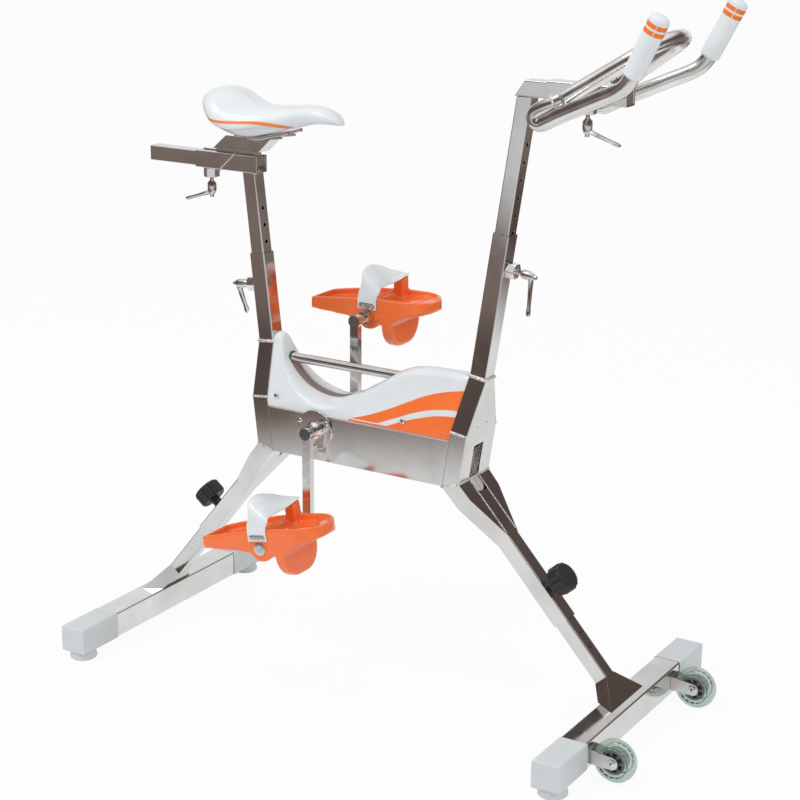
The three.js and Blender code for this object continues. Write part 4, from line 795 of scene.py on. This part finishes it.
class BIKE_OT_crank(bpy.types.Operator):
    """Finishes the crank: bolted flange, stepped collars, barrels, dust caps and arms"""
    bl_idname = "bike.crank"
    bl_label = "Crank"

    def execute(self, context):
        dress("bottom_bracket", "steel_polished")
        dress("crank_axle", "steel_chrome", edge=0.0005)
        for name, _ in SIDES:
            dress(f"crank_arm_{name}", "steel_cast", edge=0.0016, segments=3)
        bolts, caps = [], []
        x, z = CRANK
        flange_y, cap_y = 55.9, 88.0
        for _, side in SIDES:
            for dx, dz in ((-31, 13.5), (25, 15.5), (1.3, -28)):
                bolt = domed_screw(4.2, 3)
                bolts.append(put(bolt, bike(x + dx, side * flange_y, z + dz), side * AXIS_Y))
            profile = [(0, 1.4), (8.5, 1.4), (10.4, 0.9), (11.1, -0.4), (11.1, -3.4), (0, -3.4)]
            cap = smooth(lathe("cap", profile, "cap_grey", 40), 50)
            caps.append(put(cap, bike(x, side * cap_y, z), side * AXIS_Y))
        settle(joined("bracket_flange_bolts", bolts), "frame", "steel")
        settle(joined("crank_dust_caps", caps), "crank", "black_plastic")
        return {"FINISHED"}


def pedal_place(name, side):
    """Where a level pedal drawn round the origin stands on its crank arm, with its tilt."""
    centre = bike(CRANK[0], PEDAL_INNER[name], CRANK[1] + side * PEDAL_ARM)
    return Matrix.Translation(centre) @ Matrix.Rotation(math.radians(-PEDAL_PITCH if side < 0 else 0), 4, "Y")


class BIKE_OT_pedals(bpy.types.Operator):
    """Finishes the pedal shells and straps, with the strap's riveted plates"""
    bl_idname = "bike.pedals"
    bl_label = "Pedals and straps"

    def execute(self, context):
        upright, outward = Matrix(), Matrix.Rotation(math.pi / 2, 4, "X")
        for name, side in SIDES:
            place = pedal_place(name, side)
            soft_shell(name, place)
            strap = merged_copy(f"pedal_strap_{name}", f"pedal_strap_{name}_moulded")
            wear(smooth(rounded(strap, 0.0009, 50), 50), "white_gloss")
            settle(strap, f"pedal_{name}", "white_shell", f"pedal_strap_{name}")
            profile = [(0, 1.3), (4, 1.6), (4.6, 0.9), (9.8, 1.1), (11.6, 0.2), (11.6, -2), (0, -2)]
            boss = smooth(lathe("boss", profile, "steel_satin", 36), 40)
            pieces = []
            for piece, offset, turn in (
                (rounded_plate("plate", 33, 11, 1.6, "steel_satin"), (-1.2, -3.3, 20), upright),
                (domed_screw(3.2, 1.8), (-9, -4.8, 20), outward),
                (domed_screw(3.2, 1.8), (7, -4.8, 20), outward),
                (boss, (0, -2.6, 0), outward),
            ):
                piece.data.transform(place @ Matrix.Translation(Vector(offset) * MM) @ turn)
                pieces.append(piece)
            settle(joined(f"pedal_{name}_hardware", pieces), f"pedal_{name}", "steel")
        return {"FINISHED"}


def soft_shell(name, place):
    """The pedal's shell with a shallower tread and the soft edges of a thick moulding."""
    shell = merged_copy(f"pedal_{name}", f"pedal_{name}_moulded")
    shell.data.transform(place.inverted())
    top = max(v.co.z for v in shell.data.vertices if abs(v.co.x) > 0.08)
    tread, lift = top - 0.013, 0.006
    for vertex in shell.data.vertices:
        if abs(vertex.co.z - tread) < 0.0006:
            vertex.co.z += lift
    apply_modifier(shell, "REMESH", "Moulding", mode="VOXEL", voxel_size=0.0019)
    apply_modifier(shell, "SMOOTH", "Soft edges", factor=0.5, iterations=13)
    shell.data.transform(place)
    select(shell)
    bpy.ops.object.shade_smooth()
    settle(wear(shell, "orange_gloss"), f"pedal_{name}", "orange_shell", f"pedal_{name}")


def rounded_plate(name, width, height, depth, finish, corner=0.42):
    """A plate in X and Z, its corners rounded by a share of its height, with its middle at the origin."""
    deselect()
    bpy.ops.mesh.primitive_cube_add(size=1)
    obj = bpy.context.object
    obj.name = name
    obj.data.transform(Matrix.Diagonal((width * MM, depth * MM, height * MM, 1)))
    mesh = bmesh.new()
    mesh.from_mesh(obj.data)
    corners = [e for e in mesh.edges if abs(e.verts[0].co.y - e.verts[1].co.y) > depth * MM / 2]
    bmesh.ops.bevel(mesh, geom=corners, offset=height * MM * corner, segments=5, affect="EDGES", profile=0.5)
    mesh.to_mesh(obj.data)
    mesh.free()
    return wear(smooth(rounded(obj, 0.0004, 30), 35), finish)


class BIKE_OT_saddle(bpy.types.Operator):
    """Finishes the saddle as a smooth form with dropped wings, on its rails"""
    bl_idname = "bike.saddle"
    bl_label = "Saddle"

    def execute(self, context):
        obj = new_object("saddle_moulded", frame["nodes"]["saddle"].data.copy())
        limits = {"face_threshold": math.radians(60), "shape_threshold": math.radians(80)}
        in_edit(obj, merge(POINT_GAP), lambda: bpy.ops.mesh.tris_convert_to_quads(**limits), face_out)
        for vertex in obj.data.vertices:
            share = (vertex.co.x - frame_x(SADDLE_START)) / (SADDLE_LENGTH * MM)
            rise = eased(share, 0.0, 0.3) * eased(share, 0.85, 0.45) * eased(vertex.co.z, 0.972, 0.99)
            vertex.co.z -= WING_DROP * rise * min(1, abs(vertex.co.y) / WING_Y) ** 1.5
        apply_modifier(obj, "SUBSURF", "Smooth", levels=2, render_levels=2)
        select(obj)
        bpy.ops.object.shade_smooth()
        settle(wear(obj, "saddle_gloss"), "seat", "white_shell", "saddle")
        rail_y = 20
        outer = [(-262, 953), (-247, 951), (-232, 953.5), (-219, 957), (-196, 962), (-176, 968)]
        inner = [(-216, 953.6), (-203, 955.4), (-190, 957.8)]
        rails = [ribbon_tube("rail", [bike(x, side * rail_y, z) for x, z in path], radius, "steel_satin")
                 for _, side in SIDES for path, radius in ((outer, 0.0032), (inner, 0.0022))]
        settle(joined("saddle_rails", rails), "seat", "steel")
        return {"FINISHED"}


class BIKE_OT_handlebar(bpy.types.Operator):
    """Finishes the bent tubes of the handlebar and its ringed grips"""
    bl_idname = "bike.handlebar"
    bl_label = "Handlebar and grips"

    def execute(self, context):
        bow = [(394, 101.7, 5.2), (440, 87, 35.5), (500, 67, 75.5), (514, 55, 85), (524, 36, 91.5)]
        whole = [*bow, (530, 0, 95), *((x, -y, z) for x, y, z in reversed(bow))]
        tube = bent_tube("handlebar_bow_bent", whole, 1, 10)
        settle(tube, "handlebar", "steel", "handlebar_bow")
        bend = [(356.5 + 10 * math.cos(math.radians(a)), 109, -27 + 10 * math.sin(math.radians(a)))
                for a in range(123, 300, 19)]
        lower = [(390, 102.9, 2.6), (371.8, 108, -7), *bend, (396, 114, -18.8), (430, 120, -3.5),
                 (470, 127.8, 14.5), (498, 133, 27), (512, 138, 36.5), (523, 142, 51), (531, 143, 67)]
        brace = [(396, 112, -18), (400.6, 62, -9.5), (404, 16.2, -2.4)]
        for name, side in SIDES:
            bar = bent_tube("bar", lower, side, 6)
            path = [on_stem(x, side * y, z) for x, y, z in brace]
            strut = ribbon_tube("strut", path, 0.0062, "steel_bent_tube")
            out = (46, -side * 14.7, 30.3)
            seam = ring_round(on_stem(380, side * 106, -3.6), out, (BAR_RADIUS + 0.2) * MM)
            weld = ribbon_tube("weld", seam, 0.0021, "weld_bead", True)
            lower_bar = joined(f"handlebar_lower_{name}_bent", [bar, strut, weld])
            settle(lower_bar, "handlebar", "steel", f"handlebar_lower_{name}")
            dress(f"grip_{name}", "grip_rubber", edge=0.0006, angle=40)
            start, end = on_stem(523, side * 142, 51), on_stem(557, side * 146.3, 119)
            rings = []
            for low in (73.5, 84):
                profile = [(15.6, low), (16.2, low), (16.2, low + 7), (15.6, low + 7)]
                for quarter in range(4):
                    band = smooth(lathe("band", profile, "ring_orange", 10, 85), 40)
                    rings.append(put(band, start, end - start, math.radians(90 * quarter + 20)))
            settle(joined(f"grip_{name}_rings", rings), "handlebar", "orange_shell")
        return {"FINISHED"}


def bent_tube(name, points, side, steps):
    """A tube of the handlebar along an even curve, on one side of the bike."""
    path = smooth_path([on_stem(x, side * y, z) for x, y, z in points], steps)
    return ribbon_tube(name, path, BAR_RADIUS * MM, "steel_bent_tube", sides=7)


def reach_out(lever, pivot, axis, share):
    """Draws out and widens a lever's arm, which is all of it that lies away from the hub round its axis."""
    arms = {}
    for vertex in lever.data.vertices:
        offset = vertex.co - pivot
        arm = offset - axis * offset.dot(axis)
        if arm.length > ARM_START:
            arms[vertex.index] = arm
    along = sum(arms.values(), Vector()).normalized()
    for index, arm in arms.items():
        reach = arm.dot(along)
        grown = along * (ARM_START + (reach - ARM_START) * share) + (arm - along * reach) * ARM_WIDENING
        lever.data.vertices[index].co += grown - arm


class BIKE_OT_clamps(bpy.types.Operator):
    """Finishes the clamp nuts, the lever arms and the ribbed leg knobs"""
    bl_idname = "bike.clamps"
    bl_label = "Clamps and knobs"

    def execute(self, context):
        for name, reach in (("rear", 1.5), ("front", 1.25), ("seat", 1.1), ("stem", 1.1)):
            dress(f"{name}_clamp_nut", "steel_chrome", edge=0.001, segments=3)
            lever = dress(f"{name}_clamp_lever", "steel_cast", edge=0.0004, angle=55)
            pivot = next(j for j in BEHAVIOUR["joints"] if j["name"] == f"{name}_lever_turn")
            reach_out(lever, Vector(pivot["pos_m"]), Vector(pivot["axis"]).normalized(), reach)
        for end in ENDS:
            dress(f"{end}_leg_knob", "black_ribbed_and_socket_shade", edge=0.0009, angle=30)
        return {"FINISHED"}


class BIKE_OT_feet(bpy.types.Operator):
    """Finishes the end caps of the foot bars and the transport wheels"""
    bl_idname = "bike.feet"
    bl_label = "Caps, feet and wheels"

    def execute(self, context):
        for end in ENDS:
            for name, _ in SIDES:
                dress(f"{end}_cap_{name}", "white_satin", edge=0.0008, angle=40)
        for name, side in SIDES:
            dress(f"wheel_fork_{name}", "steel_satin", edge=0.0006)
            dress(f"wheel_hub_{name}", "hub_grey", edge=0.0005, angle=30)
            middle = bike(WHEEL_X, side * WHEEL_Y, WHEEL_RADIUS)
            half = [(21.3, 10.5), (22.5, 12), (29, 12), (33.5, 10.4), (36.3, 6.5)]
            near = [(r, -z) for r, z in half]
            profile = [*near, (WHEEL_RADIUS, 0), *reversed(half), near[0]]
            tyre = smooth(lathe(f"wheel_tyre_{name}_cast", profile, "tyre_clear", 72), 40)
            settle(put(tyre, middle, AXIS_Y), f"wheel_{name}", "clear_tyre", f"wheel_tyre_{name}")
            pads = []
            count, pad_y, pad_radius = 16, 11.3, 26
            for index in range(2 * count):
                pad = rounded_plate("pad", 8, 1, 4.8, "hub_grey")
                turn = Matrix.Rotation(math.tau * (index // 2) / count, 4, "Y")
                offset = Matrix.Translation(Vector((0, pad_y * (-1) ** index, pad_radius)) * MM)
                pad.data.transform(Matrix.Translation(middle) @ turn @ offset)
                pads.append(pad)
            settle(joined(f"wheel_hub_{name}_pads", pads), f"wheel_{name}", "black_plastic")
            bolts = []
            fork_half = 15.4
            for face in (-1, 1):
                profile = [(0, 0.9), (7.4, 0.9), (8.2, 0.3), (8.2, -0.4), (0, -0.4)]
                washer = smooth(lathe("washer", profile, "steel_chrome", 28), 40)
                spot = bike(WHEEL_X, side * (WHEEL_Y + face * fork_half), WHEEL_RADIUS)
                for piece in (washer, domed_screw(5.0, 3.6)):
                    bolts.append(put(piece, spot, face * side * AXIS_Y))
            settle(joined(f"wheel_bolts_{name}", bolts), "front_foot", "steel")
        return {"FINISHED"}


def seen_directly(tree):
    """The camera's rays, and all rays that show the room instead of being lit by it."""
    rays = add_node(tree, "ShaderNodeLightPath").outputs
    shown = rays["Is Camera Ray"]
    for ray in ("Is Glossy Ray", "Is Transmission Ray"):
        shown = add_node(tree, "ShaderNodeMath", {0: shown, 1: rays[ray]}, operation="MAXIMUM").outputs[0]
    return rays["Is Camera Ray"], shown


def ramp(tree, value, stops):
    """Colour stops at places along a value, all in the ramp's own 0 to 1."""
    node = add_node(tree, "ShaderNodeValToRGB", {0: value})
    elements = node.color_ramp.elements
    for element, (place, color) in zip(elements, (stops[0], stops[-1])):
        element.position, element.color = place, (*color, 1)
    for place, color in stops[1:-1]:
        elements.new(place).color = (*color, 1)
    return node.outputs[0]


def towards(tree, value, direction, start, end):
    """Nought to one as a place or a view turns towards a direction."""
    reach = add_node(tree, "ShaderNodeVectorMath", {0: value, 1: direction}, operation="DOT_PRODUCT")
    inputs = {"Value": reach.outputs["Value"], "From Min": start, "From Max": end}
    return add_node(tree, "ShaderNodeMapRange", inputs).outputs[0]


def layered(tree, factor, first, second):
    return add_node(tree, "ShaderNodeMixShader", {0: factor, 1: first, 2: second}).outputs[0]


PAPER, PALE, BROWN, DARK = (0.8, 0.82, 0.825), (0.64, 0.66, 0.67), (0.2, 0.155, 0.14), (0.095, 0.072, 0.063)
PAPER_MIDDLE, PAPER_SHARE = (0.1, 0.22, 0.0), 0.2


def floor_paint(stage):
    """A white paper floor; polished metal sees it end in a dark room, as in a photographer's studio."""
    paint = bpy.data.materials.new("floor")
    paint.use_nodes = True
    tree = paint.node_tree
    looks = {"Base Color": (0.84, 0.84, 0.84, 1), "Roughness": 0.9, "Specular IOR Level": 0.1}
    lit = feed(tree, tree.nodes["Principled BSDF"], looks).outputs[0]
    place = add_node(tree, "ShaderNodeTexCoord").outputs["Object"]
    reach = add_node(tree, "ShaderNodeVectorMath", {0: place, 1: PAPER_MIDDLE}, operation="DISTANCE")
    inputs = {0: reach.outputs["Value"], 1: PAPER_SHARE}
    share = add_node(tree, "ShaderNodeMath", inputs, operation="MULTIPLY").outputs[0]
    paper = ramp(tree, share, [
        (0.0, PAPER), (0.27, PAPER), (0.37, BROWN), (0.42, DARK), (0.5, DARK), (0.6, BROWN), (0.68, BROWN)])
    paper = mixed(tree, towards(tree, place, (0.8, -1, 0), 1.95, 2.7), paper, PALE)
    camera, shown = seen_directly(tree)
    colour = mixed(tree, camera, paper, stage.floor)
    glow = add_node(tree, "ShaderNodeEmission", {0: colour, 1: 1.0}).outputs[0]
    seen = layered(tree, camera, glow, layered(tree, stage.glow, lit, glow))
    tree.links.new(layered(tree, shown, lit, seen), tree.nodes["Material Output"].inputs[0])
    return paint


def room(stage):
    """Even light from all round; mirrors see a white backdrop, a dark room above it and a pale ceiling."""
    world = bpy.data.worlds.new("room")
    world.use_nodes = True
    tree = world.node_tree
    light = feed(tree, tree.nodes["Background"], {"Color": (1, 1, 1, 1), "Strength": stage.fill})
    direction = add_node(tree, "ShaderNodeTexCoord").outputs["Generated"]
    up = add_node(tree, "ShaderNodeSeparateXYZ", {0: direction}).outputs[2]
    backdrop = ramp(tree, up, [(0.0, PAPER), (0.42, PAPER), (0.52, BROWN), (0.62, PALE), (0.75, PAPER)])
    dark = ramp(tree, up, [
        (0.0, BROWN), (0.12, DARK), (0.48, DARK), (0.55, BROWN), (0.64, PALE), (0.76, PAPER)])
    camera, shown = seen_directly(tree)
    mirrored = mixed(tree, towards(tree, direction, (-0.45, 0.89, 0), 0.62, 0.84), dark, backdrop)
    colour = mixed(tree, camera, mirrored, stage.floor)
    view = add_node(tree, "ShaderNodeBackground", {"Color": colour, "Strength": 1.0}).outputs[0]
    tree.links.new(layered(tree, shown, light.outputs[0], view), tree.nodes["World Output"].inputs[0])
    return world


# The photograph's camera, and the lamps: place, size, share of the key lamp's power, seen in reflections
LENS, SENSOR, EYE = 86.906, 36, (1.6879, -2.7347, 1.5073)
EYE_AXES = (0.8503, 0.5263, 0.0062), (-0.1599, 0.2471, 0.9557), (0.5015, -0.8136, 0.2942)
LAMP_AIM = Vector((0, 0, 0.55))
LAMPS = (
    ("key_lamp", (-1.6, -3.2, 3.4), 2.6, 1, False),
    ("side_lamp", (3.4, -0.4, 2.6), 2.0, 0.45, False),
    ("top_lamp", (-0.6, -0.9, 3.6), 0.9, 0.3, True),
)


class BIKE_OT_stage(bpy.types.Operator):
    """Sets the floor, the lamps and the photograph's camera"""
    bl_idname = "bike.stage"
    bl_label = "Stage and camera"

    def execute(self, context):
        stage = settings()[2]
        scene = context.scene
        scene.view_settings.view_transform = "Standard"
        camera = bpy.data.cameras.new("camera")
        camera.lens, camera.sensor_width, camera.clip_end = LENS, SENSOR, 60
        eye = bpy.data.objects.new("camera", camera)
        eye.matrix_world = Matrix.Translation(EYE) @ Matrix(EYE_AXES).transposed().to_4x4()
        scene.collection.objects.link(eye)
        scene.camera = eye
        deselect()
        bpy.ops.mesh.primitive_plane_add(size=40)
        floor = bpy.context.object
        floor.name = "floor"
        floor.data.materials.append(floor_paint(stage))
        scene.world = room(stage)
        for name, place, size, share, shines in LAMPS:
            lamp = bpy.data.lights.new(name, "AREA")
            lamp.size, lamp.energy = size, stage.key * share
            holder = bpy.data.objects.new(name, lamp)
            holder.location = place
            holder.rotation_euler = (LAMP_AIM - Vector(place)).to_track_quat("-Z", "Y").to_euler()
            holder.visible_glossy = shines
            scene.collection.objects.link(holder)
        return {"FINISHED"}


OPERATORS = (BIKE_OT_frame, BIKE_OT_posts, BIKE_OT_welds, BIKE_OT_cover, BIKE_OT_crank, BIKE_OT_pedals,
             BIKE_OT_saddle, BIKE_OT_handlebar, BIKE_OT_clamps, BIKE_OT_feet, BIKE_OT_stage)


class BIKE_PT_looks(bpy.types.Panel):
    """Lists the bike's pieces and their settings"""
    bl_label = "Pool Bike"
    bl_idname = "BIKE_PT_looks"
    bl_space_type = "VIEW_3D"
    bl_region_type = "UI"
    bl_category = "Pool Bike"

    def draw(self, context):
        for group in settings():
            for prop in group.bl_rna.properties:
                if prop.identifier not in ("rna_type", "name"):
                    self.layout.prop(group, prop.identifier)
        for operator in OPERATORS:
            self.layout.operator(operator.bl_idname)


CLASSES = (BikeFinishes, BikeTrim, BikeStage, *OPERATORS, BIKE_PT_looks)


def register():
    for cls in CLASSES:
        bpy.utils.register_class(cls)
    bpy.types.Scene.bike_finishes = bpy.props.PointerProperty(type=BikeFinishes)
    bpy.types.Scene.bike_trim = bpy.props.PointerProperty(type=BikeTrim)
    bpy.types.Scene.bike_stage = bpy.props.PointerProperty(type=BikeStage)


def unregister():
    del bpy.types.Scene.bike_stage, bpy.types.Scene.bike_trim, bpy.types.Scene.bike_finishes
    for cls in reversed(CLASSES):
        bpy.utils.unregister_class(cls)


def main():
    register()
    for operator in OPERATORS:
        group, name = operator.bl_idname.split(".")
        getattr(getattr(bpy.ops, group), name)()
    deselect()


if __name__ == "__main__":
    main()
